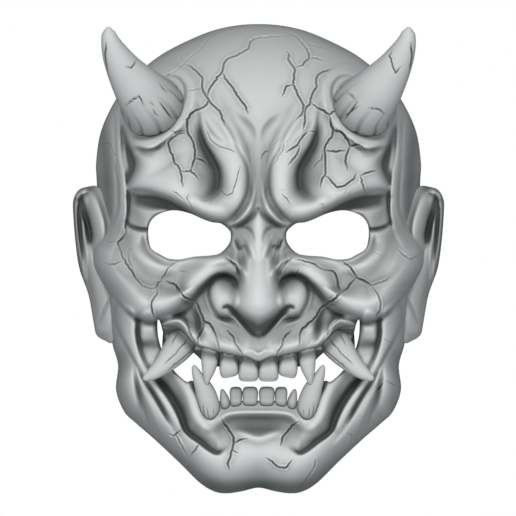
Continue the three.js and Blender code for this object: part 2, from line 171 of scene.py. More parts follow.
CORD, SOFT, CREASE, STEP, BAND = Form
STROKES = (
    Stroke("brow side", STEP, (
        (121, 116, 0, 20, 5), (124, 129, 6, 36, 5), (128, 144, 12, 40, 5), (133, 153.5, 14, 42, 5),
        (137, 160.5, 15, 44, 5), (137.7, 167, 15, 46, 5), (134.5, 174, 15, 46, 6), (130.5, 182, 15, 46, 6),
        (128.5, 189, 15, 46, 8), (137, 190.5, 15, 46, 9), (150, 192.5, 16, 48, 10), (160, 196, 18, 50, 11),
        (170, 200, 20, 52, 11), (180, 205.5, 21, 50, 10), (190, 211, 21, 46, 8), (201, 216.5, 19, 38, 7),
        (212, 220.5, 16, 32, 6), (225, 222, 9, 24, 5), (236, 221, 0, 16, 4)), 9, 3),
    Stroke("brow shade", SOFT, (
        (130, 197, -4, 5, 10), (142, 199, -10, 6, 13), (155, 201, -13, 7, 12), (168, 205, -11, 6, 8),
        (180, 210, -6, 5, 5), (190, 214, -1, 4, 4))),
    Stroke("temple wedge", SOFT, (
        (122.5, 126, -3, 3, 4), (126, 142, -9, 4, 6), (131, 156, -13, 4, 9), (133.5, 165, -13, 4, 10),
        (131, 175, -8, 4, 7), (128.5, 184, -2, 3, 5))),
    Stroke("temple strap", BAND, (
        (118, 140, 0, 3, 3), (119.5, 158, 3, 3.5, 3.5), (122, 176, 6, 4, 4), (123, 190, 8, 5, 5),
        (123, 204, 9, 5.5, 5.5), (121.5, 216, 9, 6.5, 6), (116, 228, 8, 9, 7), (109, 238, 6, 11, 9),
        (102, 248, 4, 12, 9), (98, 258, 0, 12, 8)), 6, 1),
    Stroke("strap edge", CREASE, (
        (126, 183, 0, 3, 3), (128.5, 196, 5, 3, 3), (128.5, 212, 5, 3, 3), (126.5, 224, 4, 3, 3),
        (121, 235, 0, 3, 3))),
    Stroke("temple fold", CREASE, (
        (119, 112, 0, 3, 3), (121, 126, 5, 3, 3), (122, 142, 6, 3, 3), (122.5, 156, 5, 3, 3),
        (124.5, 170, 0, 3, 3))),
    Stroke("temple fold two", CREASE, (
        (113, 112, 0, 2.5, 3), (114.5, 128, 4, 3, 3), (115, 145, 4, 3, 3), (116.5, 160, 3, 3, 3),
        (118, 172, 0, 3, 3))),
    Stroke("temple fold three", CREASE, (
        (114, 158, 0, 3, 3), (116.5, 176, 5, 3, 3), (118, 194, 7, 3, 3), (117.5, 210, 7, 3, 3),
        (112, 225, 5, 3, 3), (104, 236, 0, 3, 3))),
    Stroke("volute", CORD, (
        (198, 92, 1, 18, 12), (203, 106, 4, 20, 13), (210, 120, 8, 21, 14), (219, 135, 13, 22, 16),
        (228, 150, 16, 20, 17), (234, 165, 19, 17, 16), (236, 181, 21, 15, 16), (232, 196, 21, 17, 15),
        (221, 207, 18, 17, 13), (207, 209, 12, 15, 11), (194, 204, 5, 12, 9)), 6, 3),
    Stroke("volute crease", CREASE, (
        (232, 140, 0, 3, 3), (239, 151, 3, 3, 3), (245.5, 161, 5, 3, 3.5), (248.5, 171, 6, 3, 3.5),
        (249, 182, 6, 3.5, 3.5), (248, 191, 6, 3.5, 3.5), (244.5, 201, 6, 3.5, 3.5),
        (238, 211, 5, 3.5, 3.5), (230, 219, 3, 3.5, 3.5), (224, 222, 0, 4, 4))),
    Stroke("dish shade", CREASE, (
        (197, 102, 1, 3, 5), (198.5, 116, 4, 3, 7), (200.5, 132, 9, 3.5, 10), (205, 146, 13, 3.5, 12),
        (212.5, 158, 14, 3.5, 14), (218.5, 170, 12, 3.5, 15), (219.5, 181, 9, 3.5, 15),
        (216, 191, 6, 3.5, 12), (208, 198, 3, 3.5, 8), (200, 202, 0, 3, 6)), 6, 2),
    Stroke("under fold", SOFT, (
        (254, 180, 1, 4, 4), (253.5, 194, 5, 4, 4.5), (250, 206, 9, 5.5, 5.5), (243, 216, 10, 6, 6),
        (235, 223, 8, 5, 5), (227, 225, 3, 4, 4))),
    Stroke("diamond crease", CREASE, (
        (258.5, 209, 6, 4, 4), (252, 217, 7, 4, 4), (245, 223, 7, 4, 4), (237, 226.5, 5, 4, 4),
        (230, 227, 0, 4, 4))),
    Stroke("column", SOFT, (
        (258.5, 118, 1, 18, 18), (258.5, 140, 4, 16, 16), (258.5, 160, 6, 13, 13), (258.5, 178, 6, 11, 11),
        (258.5, 192, 5, 9, 9), (258.5, 202, 1, 6, 6)), 6, 2),
    Stroke("fan one", CREASE, (
        (203, 116, 0, 3, 3), (208, 127, 2.5, 3, 3), (216, 137, 2.5, 3, 3), (225, 143, 0, 3, 3))),
    Stroke("fan two", CREASE, (
        (219, 116, 0, 3, 3), (227, 126, 2.5, 4, 3), (234, 138, 3, 4, 3), (240, 152, 0, 3, 3))),
    Stroke("fan three", CREASE, (
        (238, 113, 0, 3, 3), (247, 122, 3, 4, 3), (253, 131, 3, 4, 3), (255, 143, 0, 3, 3))),
    Stroke("fan ridge", SOFT, (
        (212, 112, 0, 5, 5), (222, 124, 2.5, 5, 5), (231, 137, 2.5, 5, 5), (238, 150, 0, 4, 4))),
    Stroke("fan ridge two", SOFT, (
        (229, 108, 0, 5, 5), (238, 120, 2.5, 5, 5), (246, 133, 2.5, 5, 5), (250, 148, 0, 4, 4))),
    Stroke("lid line", CREASE, (
        (126, 220, 0, 3, 3), (130, 225.5, 6, 3.5, 3), (138, 229, 8, 3.5, 3), (145, 230, 7, 3.5, 3),
        (149, 229.5, 3, 3, 3))),
    Stroke("lid roll", STEP, (
        (150, 230.5, 4, 12, 3), (140, 230, 6, 16, 3), (131, 227.5, 5, 16, 3), (126, 222, 0, 12, 3)), 4),
    Stroke("lid", SOFT, (
        (134, 238, 1, 7, 8), (138, 250, 3, 7, 9), (148, 260, 4, 7, 9), (160, 266, 3, 6, 9),
        (176, 269, 1, 6, 8))),
    Stroke("lid margin", CREASE, (
        (143, 232, 0, 3, 3), (143, 240, 3, 3, 4), (147, 249, 4, 3, 5), (155, 257, 4, 3, 5),
        (166, 262.5, 3, 3, 5), (180, 264, 0, 3, 4))),
    Stroke("cheekbone", STEP, (
        (97, 268, 0, 16, 4), (101, 279, 6, 22, 5), (109, 291, 12, 28, 6), (119, 302, 16, 34, 7),
        (128, 311.5, 19, 38, 7), (140, 319, 20, 40, 8), (152, 321.5, 21, 42, 8), (164, 319.5, 21, 40, 8),
        (176, 315.5, 19, 34, 7), (187, 309.5, 14, 26, 6), (196, 302, 7, 18, 5),
        (203, 293, 0, 12, 4)), 16, 1),
    Stroke("cheekbone crest", SOFT, (
        (96, 246, 2, 13, 13), (102, 262, 4, 15, 15), (113, 278, 5, 17, 17), (130, 292, 5, 18, 18),
        (150, 300, 4, 18, 18), (172, 298, 2, 15, 15))),
    Stroke("cheek valley", SOFT, (
        (124, 236, -1, 8, 8), (126, 250, -4, 8, 8), (134, 266, -4, 9, 9), (146, 277, -4, 9, 9),
        (160, 281, -3, 8, 8), (174, 277, -1, 7, 7))),
    Stroke("cheek plate", STEP, (
        (190, 306, 0, 12, 4), (196, 298, 8, 22, 4), (202, 290.5, 13, 28, 5), (209, 283, 16, 30, 5),
        (217, 277, 16, 28, 5), (226, 275, 14, 26, 5), (233, 279, 8, 18, 4), (238, 284, 0, 12, 4)), 13, 1),
    Stroke("cheek plate top", SOFT, (
        (172, 268, 1, 6, 8), (184, 260, 4, 6, 9), (198, 257, 6, 6, 9), (212, 258, 6, 6, 9),
        (224, 257, 5, 6, 9), (232, 254, 1, 6, 7))),
    Stroke("nose side", CREASE, (
        (224, 255, 0, 3, 3), (229, 260, 4, 3, 3), (235, 265, 5.5, 3, 3), (238.5, 272, 5.5, 3, 3),
        (240, 279, 3, 3, 3), (240, 285, 0, 3, 3))),
    Stroke("bridge fold", CREASE, (
        (240, 228, 0, 3, 3), (245, 227, 4, 3, 3), (250, 230.5, 5, 3, 3), (253, 237, 3, 3, 3),
        (254, 243, 0, 3, 3))),
    Stroke("bridge block", CREASE, (
        (235.5, 236, 0, 2.5, 2.5), (237, 243, 4, 2.5, 2.5), (240, 248.6, 5, 2.5, 2.5),
        (244, 246.4, 5, 2.5, 2.5), (247, 252.5, 5, 2.5, 2.5), (250, 259, 0, 2.5, 2.5))),
    Stroke("bridge ridge", SOFT, (
        (244, 234, 1, 3, 3), (248, 243, 3, 3.5, 3.5), (252, 252, 2.5, 3, 3), (254, 260, 0, 3, 3))),
    Stroke("corner fold", SOFT, (
        (231, 240, 2, 5, 5), (236, 250, 4, 5, 5), (238, 260, 3, 5, 5), (238, 270, 2, 5, 5))),
    Stroke("bridge side", SOFT, (
        (243, 238, 1, 5, 5), (244.5, 250, 4, 7, 6), (245, 262, 5, 8, 6), (244.5, 274, 4, 8, 6),
        (243, 284, 1, 7, 6))),
    Stroke("wing crease", CREASE, (
        (238, 292, 0, 3, 3), (236.5, 285, 4, 3, 4), (231.5, 278.5, 7, 3.5, 4), (221.5, 275.5, 7, 4, 4),
        (213, 279, 7, 4, 4), (208.5, 288, 7, 4, 4), (208.3, 297, 7, 4, 4), (211, 306, 7, 4, 4),
        (216.5, 314, 7, 4, 4), (225, 318.8, 6, 4, 4), (232, 319.5, 4, 3, 3), (236, 323, 0, 3, 3))),
    Stroke("nose", CORD, (
        (258.5, 226, 0, 12, 12), (258.5, 240, 3, 12, 12), (258.5, 254, 6, 13, 13), (258.5, 268, 12, 17, 17),
        (258.5, 282, 19, 21, 21), (258.5, 294, 25, 24, 24), (258.5, 302, 28, 26, 26),
        (258.5, 309, 28, 25, 25), (258.5, 315, 25, 20.5, 20.5), (258.5, 321, 20, 14.5, 14.5),
        (258.5, 328, 13, 9, 9), (258.5, 333, 6, 5, 5), (258.5, 336, 0, 3, 3)), 3, 2),
    Stroke("nose skirt", SOFT, (
        (258.5, 262, 1, 22, 22), (258.5, 276, 8, 30, 30), (258.5, 290, 13, 38, 38),
        (258.5, 302, 13, 38, 38), (258.5, 312, 8, 32, 32), (258.5, 322, 3, 22, 22),
        (258.5, 330, 0, 14, 14)), 12),
    Stroke("bridge", BAND, (
        (258.5, 228, 2, 9, 9), (258.5, 244, 6, 11, 11), (258.5, 258, 7, 13, 13), (258.5, 272, 6, 16, 16),
        (258.5, 286, 3, 18, 18), (258.5, 296, 0, 20, 20)), 6, 4),
    Stroke("nostril", CREASE, (
        (222, 310, 0, 2.5, 2.5), (224.5, 306.8, 5, 2.5, 3), (229, 306.5, 7, 3, 3), (235, 311.5, 8, 3, 3.5),
        (242, 320, 8, 3, 3.5), (248.5, 328, 8, 3, 3.5), (253, 333.5, 7, 3, 3), (258.5, 336, 7, 3, 3))),
    Stroke("sill", SOFT, (
        (227, 313, 2, 3, 3), (233, 317, 4, 4, 3.5), (239, 323, 4, 4, 3.5), (244, 328, 1, 3, 3))),
    Stroke("wing foot", SOFT, ((218, 320, 1, 3, 3), (226, 323, 3, 3, 4), (233, 326, 1, 3, 3))),
    Stroke("lip edge", STEP, (
        (158, 325, 0, 8, 4), (166, 326, 6, 12, 5), (176, 327, 9, 14, 6), (184, 332, 10, 15, 7),
        (192, 341, 10, 16, 7), (201, 347, 9, 18, 7), (214, 350.5, 9, 20, 7), (229, 354, 9, 22, 7),
        (246, 357, 9, 24, 7), (258.5, 361.5, 9, 24, 7), (271, 357, 9, 24, 7)), 5),
    Stroke("lip fold", SOFT, (
        (162, 324, 2, 5, 5), (170, 320, 6, 5, 6), (179, 319, 8, 5, 6), (186, 325, 8, 6, 6),
        (189, 334, 6, 5, 5), (195, 342, 2, 4, 4))),
    Stroke("lip fold line", CREASE, (
        (172, 316, 0, 3, 3), (178, 315.5, 5, 3, 3), (184.5, 318.5, 7, 3, 3), (189, 325, 7, 3, 3),
        (190.5, 332, 6, 3, 3), (193.5, 339, 5, 3, 3), (198, 344, 0, 3, 3))),
    Stroke("lip furrow", CREASE, (
        (189, 306, 0, 6, 6), (196, 315, 6, 7, 6), (198.5, 326, 7, 7, 5), (200.5, 336, 5, 6, 4),
        (202, 345, 0, 4, 4))),
    Stroke("lip pad", SOFT, (
        (206, 330, 4, 8, 7), (214, 338, 6, 9, 8), (224, 343, 6, 9, 9), (238, 346, 4, 8, 8))),
    Stroke("philtrum", BAND, (
        (258.5, 335, 0, 9, 9), (258.5, 342, -1.5, 9, 9), (258.5, 349, 0, 10, 10)), 6, 2),
    Stroke("philtrum edge", SOFT, (
        (247, 351, 1, 3, 3), (252, 350, 3, 3, 3), (258.5, 354, 3.5, 3, 3), (265, 350, 3, 3, 3),
        (270, 351, 1, 3, 3))),
    Stroke("tooth bed", SOFT, (
        (198, 353, -3, 5, 5), (208, 358.5, -9, 5, 7), (222, 362, -13, 6, 8), (240, 365, -13, 6, 8),
        (258.5, 367, -13, 6, 8), (271, 366, -13, 6, 8)), 6, 1),
    Stroke("gum ridge", CORD, (
        (172, 369, 1, 7, 6), (179, 377, 5, 9, 7), (186, 388, 9, 10, 7), (191.5, 401, 11, 10, 7),
        (195.5, 413, 12, 10, 7), (202, 422, 11, 9, 7), (212, 423, 9, 9, 8), (221, 416, 8, 8, 8),
        (230, 411, 6, 6, 8), (246, 409, 6, 6, 8), (258.5, 409, 6, 6, 8), (271, 409, 6, 6, 8)), 6, 4),
    Stroke("gum slope", SOFT, ((205, 430, 4, 8, 10), (214, 433, 4, 8, 10), (222, 434, 1, 7, 8))),
    Stroke("lower lip", SOFT, (
        (220, 420, 2, 4, 5), (227, 414.5, 6, 5, 5), (240, 412.5, 8, 5, 6), (258.5, 412.5, 8, 5, 6),
        (271, 412.5, 8, 5, 6))),
    Stroke("chin hollow", BAND, (
        (225, 416, -1, 4, 5), (234, 417, -4, 6, 9), (244, 419, -6, 8, 11), (252, 420.5, -7, 9, 12),
        (258.5, 421, -7, 10, 13), (266, 420.5, -7, 9, 12)), 6, 4),
    Stroke("chin brow", SOFT, (
        (232, 432, 1, 5, 7), (244, 433, 4, 6, 8), (258.5, 437, 5, 6, 9), (271, 434, 4, 6, 8))),
    Stroke("jaw furrow", CREASE, (
        (150, 369, 1, 5, 3), (157, 378.5, 8, 8, 3), (164, 388, 12, 10, 3), (171, 398, 13, 10, 3),
        (177, 408.5, 14, 10, 3), (181.5, 419, 14, 10, 3), (185.5, 429, 13, 12, 3), (192, 435.5, 12, 14, 3),
        (200, 441, 11, 15, 3), (209, 448, 10, 15, 3), (217, 452, 8, 14, 3), (223, 449, 4, 10, 3),
        (229, 444, 0, 6, 3)), 6, 1),
    Stroke("band B", BAND, (
        (148, 318, 5, 9, 9), (148.3, 328, 9, 9, 9), (149, 337, 6, 9.5, 9.5), (150.5, 345, 1, 10, 10),
        (151.5, 353, 4, 9, 9), (152, 361, 6, 6, 6), (155, 368, 3, 4, 4)), 6, 2),
    Stroke("band A", BAND, (
        (119, 302, 2, 5, 5), (122, 311, 8, 11, 8), (126.5, 321, 11, 12, 11), (129, 333, 11, 9, 9),
        (132.5, 344, 10, 7, 7), (137.5, 355, 9, 5.5, 5.5), (144, 367, 8, 5, 5), (150.5, 378, 8, 5, 5),
        (157, 388, 9, 5, 5), (163.5, 397.5, 10, 5.5, 5.5), (170, 408, 10, 6, 6), (175.5, 418.5, 9, 6, 6),
        (179, 427, 6, 5, 5), (181.5, 433, 0, 4, 4)), 6, 2),
    Stroke("band C", BAND, (
        (136, 364, 1, 2.5, 2.5), (139.5, 376, 4, 3.5, 3.5), (145, 387, 7, 5, 5), (151.5, 400, 8, 6, 6),
        (158, 414, 8, 7, 7), (164.5, 427, 7, 8, 8), (172, 440, 5, 8, 8), (181, 452, 0, 8, 8)), 6, 2),
    Stroke("rear band", SOFT, (
        (113, 298, 2, 4, 4), (110.5, 312, 5, 4, 5), (110.5, 326, 5, 5, 5), (114, 341, 3, 6, 5),
        (121, 357, 0, 6, 6))),
    Stroke("band line two", CREASE, (
        (139.5, 316, 0, 2.5, 2.5), (138.3, 328, 5, 3, 2.5), (138.8, 340, 5.5, 3, 2.5),
        (141, 351, 5.5, 3, 2.5), (145, 360, 5, 2.5, 2.5), (150, 368, 3, 2.5, 2.5),
        (154, 375, 0, 2.5, 2.5))),
    Stroke("band line one", CREASE, (
        (119, 300.5, 0, 3, 3), (115, 307, 5, 3, 3), (113.3, 315, 7, 3, 3.5), (115, 323, 7, 3, 3.5),
        (119.5, 333, 7, 3, 3.5), (124.5, 343, 7, 3, 3.5), (131, 355, 6, 3, 3), (138, 367, 5, 3, 3),
        (143, 376, 4, 3, 3), (150.5, 387.5, 5, 3, 3), (157, 398, 5, 3, 3), (163.3, 408.5, 5, 3, 3),
        (168.7, 419, 3, 3, 3), (171.5, 425, 0, 3, 3))),
    Stroke("jaw groove", CREASE, (
        (134, 362, 0, 3, 3), (136, 374, 5, 3, 4), (139, 387, 8, 3, 6), (142, 400, 9, 3, 8),
        (145.5, 412, 9, 3, 9), (149.5, 424, 7, 3, 9), (155, 436, 0, 3, 6))),
    Stroke("ear groove", CREASE, (
        (109, 296, 0, 3, 3), (107.5, 310, 5, 3, 4), (105.5, 322, 6, 3, 4), (107, 334, 5, 3, 3),
        (111, 343, 0, 3, 3))),
    Stroke("collar", BAND, (
        (158, 68, 0, 6, 6), (169, 69, 3, 6, 8), (181, 74, 3, 6, 9), (189, 84, 3, 6, 9), (190, 96, 3, 6, 9),
        (186.5, 110, 4, 6, 8), (180, 122, 5, 6, 7), (171, 132.5, 7, 7, 7), (160, 140, 7, 7, 7),
        (148, 143.5, 7, 7, 7), (136, 143, 5, 7, 6), (126, 137, 1, 5, 5)), 6, 2),
    Stroke("horn ring", CREASE, (
        (162, 77.5, 0, 3, 3), (170, 75.5, 4, 3, 3), (178, 78, 5, 3, 3), (184, 86, 5, 3, 3),
        (184.5, 96, 5, 3, 3), (180.5, 109, 5, 3, 3), (175, 120, 5, 3, 3), (167.5, 128.5, 6, 3, 3),
        (157, 135, 6, 3, 3), (147, 138, 6, 3, 3), (137, 138, 5, 3, 3), (129, 134, 0, 3, 3))),
    Stroke("collar crease", CREASE, (
        (148, 151, 0, 3, 3), (156, 149.5, 6, 3.5, 3), (164, 144, 7, 3.5, 3), (171, 138, 6, 3, 3),
        (178, 132, 4, 3, 3), (185, 130, 0, 3, 3))),
    Stroke("collar shade", SOFT, (
        (134, 147, -2, 4, 5), (140, 150, -5, 4, 7), (149, 152, -3, 4, 7), (157, 153, 0, 4, 6))),
)

# Painted shade where little light comes, and painted light where the share is below nought: rows as for the
# strokes, with a share of darkness for the height
PAINTED_LIGHT_AND_SHADE = (
    Stroke("under the brow", SOFT, (
        (131, 193, 0.2, 4, 8), (142, 198, 0.4, 6, 12), (156, 200, 0.45, 6, 12), (170, 204, 0.4, 5, 8),
        (182, 209, 0.3, 4, 5), (196, 216, 0.1, 3, 4))),
    Stroke("socket", SOFT, ((134, 207, 0.22, 10, 10), (139, 218, 0.22, 11, 9), (146, 227, 0.05, 7, 5))),
    Stroke("wedge", SOFT, (
        (123, 128, 0.2, 3, 3), (127, 143, 0.3, 4, 5), (132, 157, 0.4, 4, 7), (134, 166, 0.4, 4, 8),
        (131, 176, 0.25, 4, 6), (128.5, 185, 0.1, 3, 4))),
    Stroke("side plates", SOFT, (
        (104, 118, 0.15, 7, 7), (104, 140, 0.38, 12, 9), (106, 165, 0.48, 13, 12), (107, 190, 0.48, 13, 12),
        (109, 212, 0.4, 8, 10), (109, 226, 0, 6, 6))),
    # Painted light: a share below nought lightens the upper lip
    Stroke("light of the lip", SOFT, (
        (198, 332, -0.05, 8, 8), (210, 336, -0.18, 12, 11), (226, 341, -0.2, 13, 10),
        (243, 345, -0.18, 11, 10), (258.5, 346, -0.18, 9, 9), (270, 345, -0.18, 9, 9))),
    Stroke("channel", SOFT, (
        (201, 130, 0.02, 4, 5), (204, 144, 0.08, 4, 7), (211, 156, 0.1, 4, 8), (217, 168, 0.04, 4, 9),
        (219, 178, 0, 4, 8))),
    Stroke("under the nose", SOFT, (
        (230, 306, 0.05, 5, 3), (236, 310, 0.18, 8, 4), (243, 317, 0.34, 11, 5), (250, 323, 0.5, 15, 6),
        (258.5, 327, 0.6, 20, 9), (267, 323, 0.5, 15, 6))),
    Stroke("nostril line", SOFT, (
        (224.5, 307, 0.25, 2.5, 2.5), (229, 306.8, 0.35, 2.5, 3), (235, 312, 0.35, 3, 3),
        (242, 320.5, 0.25, 3, 3), (248.5, 328.5, 0.1, 3, 3))),
    Stroke("furrow line", SOFT, (
        (157, 378.5, 0.2, 2, 2), (164, 388, 0.45, 2.5, 2.5), (171, 398, 0.5, 2.5, 2.5),
        (177, 408.5, 0.5, 2.5, 2.5), (181.5, 419, 0.5, 2.5, 2.5), (185.5, 429, 0.5, 2.5, 2.5),
        (192, 435.5, 0.5, 2.5, 2.5), (200, 441, 0.5, 2.5, 2.5), (209, 448, 0.5, 2.5, 2.5),
        (217, 452, 0.4, 2.5, 2.5), (223, 449, 0.1, 2, 2))),
    Stroke("dish line", SOFT, (
        (199.5, 125, 0.1, 2, 3), (203, 140, 0.3, 2.5, 4), (209.5, 153, 0.3, 2.5, 4),
        (216, 165, 0.3, 2.5, 4), (219, 176, 0.25, 2.5, 4), (217.5, 188, 0.1, 2.5, 3))),
    Stroke("under the cheekbone", SOFT, (
        (130, 312, 0.15, 6, 5), (145, 318, 0.22, 8, 5), (160, 317, 0.3, 10, 5), (174, 311, 0.4, 12, 5),
        (186, 303, 0.42, 12, 6), (196, 294, 0.42, 8, 6), (203, 286, 0.42, 6, 6), (210, 279.5, 0.35, 5, 5),
        (219, 275, 0.2, 4, 4))),
    Stroke("furrow of the jaw", SOFT, (
        (159, 380, 0.02, 6, 3), (167, 388, 0.08, 7, 4), (175, 398, 0.1, 7, 4), (181, 408, 0.1, 7, 4),
        (185, 419, 0.1, 7, 4), (190, 430, 0.1, 8, 5), (200, 438, 0.1, 8, 5), (211, 446, 0.06, 8, 4))),
    Stroke("saddle", SOFT, ((142, 343, 0.3, 8, 7), (158, 345, 0.3, 8, 7))),
    Stroke("hollow of the chin", SOFT, (
        (238, 424, 0.02, 6, 6), (248, 427, 0.06, 8, 6), (258.5, 429, 0.08, 9, 6), (270, 427, 0.06, 8, 6))),
    Stroke("under the chin", SOFT, (
        (150, 438, 0.05, 7, 7), (170, 452, 0.15, 9, 9), (190, 470, 0.3, 11, 12), (205, 483, 0.45, 13, 13),
        (225, 489, 0.55, 14, 14), (245, 487, 0.5, 13, 13), (258.5, 486, 0.5, 12, 12),
        (270, 487, 0.5, 12, 12))),
    Stroke("side of the jaw", SOFT, (
        (109, 345, 0.1, 5, 6), (111, 365, 0.25, 8, 8), (110, 385, 0.28, 9, 9), (113, 405, 0.28, 9, 9),
        (124, 420, 0.2, 9, 9), (138, 432, 0.1, 8, 8))),
    Stroke("under the collar", SOFT, (
        (136, 147, 0.15, 4, 5), (143, 149, 0.25, 5, 6), (150, 151, 0.1, 4, 5))),
    Stroke("behind the tusk", SOFT, (
        (163, 331, 0.5, 4, 6), (175, 332, 0.5, 4, 6), (184, 339, 0.5, 4, 7), (193, 350, 0.6, 4, 7),
        (202, 352, 0.5, 4, 7))),
)
# Painted shade on the teeth: the lip's shadow over their tops, and shade in the gaps between them
TOOTH_PAINTED_SHADE = (
    Stroke("lip shadow on the teeth", SOFT, (
        (164, 329, 0.2, 4, 7), (176, 330, 0.35, 4, 9), (186, 339, 0.4, 4, 9), (196, 349, 0.4, 4, 9),
        (207, 352, 0.4, 4, 9), (222, 355.5, 0.4, 4, 8), (240, 358.5, 0.4, 4, 8), (258.5, 362, 0.4, 4, 8),
        (270, 360, 0.4, 4, 8))),
    Stroke("gap one", SOFT, ((219.7, 354, 0.5, 5, 5), (219.7, 363, 0.4, 3.5, 3.5), (219.7, 370, 0, 2, 2))),
    Stroke("gap two", SOFT, ((239, 357, 0.5, 6, 6), (239, 366, 0.4, 3.5, 3.5), (239, 374, 0, 2, 2))),
    Stroke("gap three", SOFT, (
        (258.5, 360, 0.5, 6, 6), (258.5, 368, 0.4, 3.5, 3.5), (258.5, 376, 0, 2, 2))),
)


@dataclass(frozen=True)
class Crack:
    """A jagged crack through points of the drawing."""

    points: str
    wide: float = 1.25
    deep: float = 2.6
    lip: float = 1.0


def cracks_of(text: str, **sizes: float) -> tuple[Crack, ...]:
    """Make one crack of each line of points.

    Args:
        text: Lines of x,y pairs.
        sizes: Width, depth and lip where they differ from a main crack's.

    Returns:
        The cracks in the order of the lines.
    """
    return tuple(Crack(line.strip(), **sizes) for line in text.strip().splitlines())


# Cracks of the skull, brow, cheeks and jaw, each line one crack
MAIN_CRACKS = cracks_of("""
    184,64 190,66 196,71 200,75 203,79 202,87 204,93 207,98 210,102 214,107 220,112 222,118 225,124 226,127
    207,97 209,90 214,83 220,75 223,70 224,64 227,59 236,56 243,52 249,48 250,42 255,38 262,37 272,36 286,35
    223,73 225,79 230,85 234,90 237,96 242,102 246,107 248,114
    207,98 209,102 204,108 197,110 191,114 188,120 187,130 189,136 194,142 195,150 195,158 193,165 191,171
    185,133 179,134 173,138 168,144 170,150 173,156 175,164 179,167 181,171 182,178 183,187
    181,171 186,172 191,171 195,175 200,180
    195,158 202,160 207,164
    126,224 126,233 122,240 118,242 120,248 123,257 127,264 132,271 137,279 143,285 150,288 157,287 159,283\
     162,281
    104,240 111,242 116,240
    104,262 109,265 116,263 123,260
    158,288 158,293 154,299 152,303 153,311 155,319
    166,281 173,284 176,285 180,291 185,297 192,300 196,300
    196,301 199,307 202,314 204,321 210,324 213,328 217,337 219,350
    204,322 202,330 198,338 198,344
    227,330 232,335 236,343 240,350 243,355
    221,418 225,423 229,429 233,435 234,442 232,448 231,455 228,461 228,465 230,470
    234,442 240,439 247,438
    232,449 238,452
    167,433 173,435 176,433 182,429
    176,434 179,440 183,448 188,457
    189,457 195,450 200,443
    286,35 291,34 295,35 301,41 306,47 309,54 309,59 305,62 302,66 296,67
    309,59 315,58 325,60
    285,51 289,54 288,59 291,64 295,69 294,76 293,85 297,93 302,103 304,109 302,115 298,118 295,121
    293,85 286,87 284,92 282,97
    333,69 325,71 319,74 316,79 317,87 313,92 311,98 309,105 305,109 305,112 305,121 303,129 304,131
    311,103 317,108 325,112 329,115 334,112 340,110
    329,116 331,125 333,131 332,137 327,143 324,148 325,162 325,176 321,180 320,188
    333,131 340,132 343,135 347,141 350,146 358,145 364,150
    350,146 347,153 345,162 347,171
    325,176 329,178 332,183 337,188 343,187 350,182 354,178 356,173
    325,151 335,152 345,151
    360,175 361,180 363,187 366,196
    360,176 366,173 372,172 378,170
    308,131 302,138 297,146 293,148 286,153
    308,131 314,132 318,135
    300,146 297,155 288,166
    397,248 404,255 411,260 415,257 420,256
    414,262 416,270 418,278
    355,278 361,279 367,283 371,285 379,282 385,280 389,276
    372,287 377,293 380,301 380,309 375,318
    354,279 347,288 340,292 334,299 327,303 321,307 317,315 313,319 307,324 302,329 299,335 300,347
    295,259 304,261 314,264 322,269 333,271 337,278 339,291
    342,261 349,266 354,273 356,278
    291,330 283,338 282,345 276,355
    340,317 332,324 328,333 326,338
    386,380 392,384 397,386 403,387
    375,392 379,388 382,383
    347,432 351,434 352,438 351,445 349,450
    266,457 272,461 277,466 285,467 292,459
    315,459 314,468 309,475 306,480 300,485 296,489
    299,420 292,425 286,432 282,438 281,445
""")
FINE_CRACKS = cracks_of("""
    162,78 176,71 183,64 190,57 200,49 206,41 214,34 225,30 232,28
    183,64 181,58 180,53
    178,60 184,51
    184,92 193,90 202,89
    185,131 179,131 176,134 170,128
    205,127 211,141 219,147 228,149 233,151 238,154
    242,166 239,171 237,180 234,188 232,194 227,196 221,192 216,196 211,199 205,201 199,200
    211,199 211,206
    189,194 187,198 190,205 195,214
    171,191 178,194 184,201
    151,185 154,186
    98,142 101,145 104,143 108,143 111,146 113,153 116,155 118,164 120,176 121,180
    96,178 102,182
    109,109 113,111 115,118 115,123
    134,250 128,249 128,255 130,262 133,268
    105,267 103,272
    180,259 174,263 168,268 165,275 161,281
    178,315 186,319 189,324 190,332 193,339 197,344
    225,256 229,260 236,265 239,273 240,279
    225,225 230,226 231,229 234,236
    179,272 185,271 191,272
    303,41 313,45 323,47 332,50
    305,62 302,66 296,67
    283,139 283,150 278,157 273,166
    279,138 274,144 271,149
    283,140 289,143
    262,163 262,155 266,151 272,150
    281,190 285,191
    281,194 286,198 290,205
    318,206 322,204 324,211
    343,197 348,189
    322,150 322,159 315,164 313,169
    409,146 413,144 418,142
    399,160 404,154
    390,189 396,183
    372,249 377,253 382,256
    293,255 290,259 285,264 281,270 279,278
    293,278 299,268
    287,235 283,237 279,248 274,245 272,255 268,260
    311,341 307,346
    383,338 393,344
    406,307 409,306 410,309 415,309
""", wide=1.0, deep=1.3, lip=0.6)
HORN_GROOVES = cracks_of("""
    107,44 106,60 109,80 114,96 119,108
    160,103 165,109 170,116 175,122
""", wide=1.6, deep=1.3, lip=0.2)
TOOTH_GROOVES = cracks_of("""
    188,338 184,344 178,351 171,358 164,364
    194,348 188,354 181,360 174,366 168,370
    178,332 174,339 171,346
    203,402 204,409 205,416 206,421
    207,405 208,411 209,417 210,421
    213,406 214,411 214,416
    192,385 193,392 195,399
""", wide=1.2, deep=1.0, lip=0.3)
HORN_CRACKS = cracks_of("""
    126,68 133,69 136,65 138,61
    126,107 132,102 138,98 140,97 145,107
    150,103 155,107
    153,110 156,115 160,117
    160,85 168,93
    391,52 388,57 390,61 391,66 395,75 400,68
    346,93 351,96 354,101 356,103
    343,117 351,112 358,107
    368,109 377,110 381,112 385,116
""", wide=1.1, deep=1.5, lip=0.4)
# Pieces that a crack is broken into, how far their ends stray, and the length over which it thins out
CRACK_PIECE, CRACK_STRAY, CRACK_THIN = 1.8, 0.32, 7.0


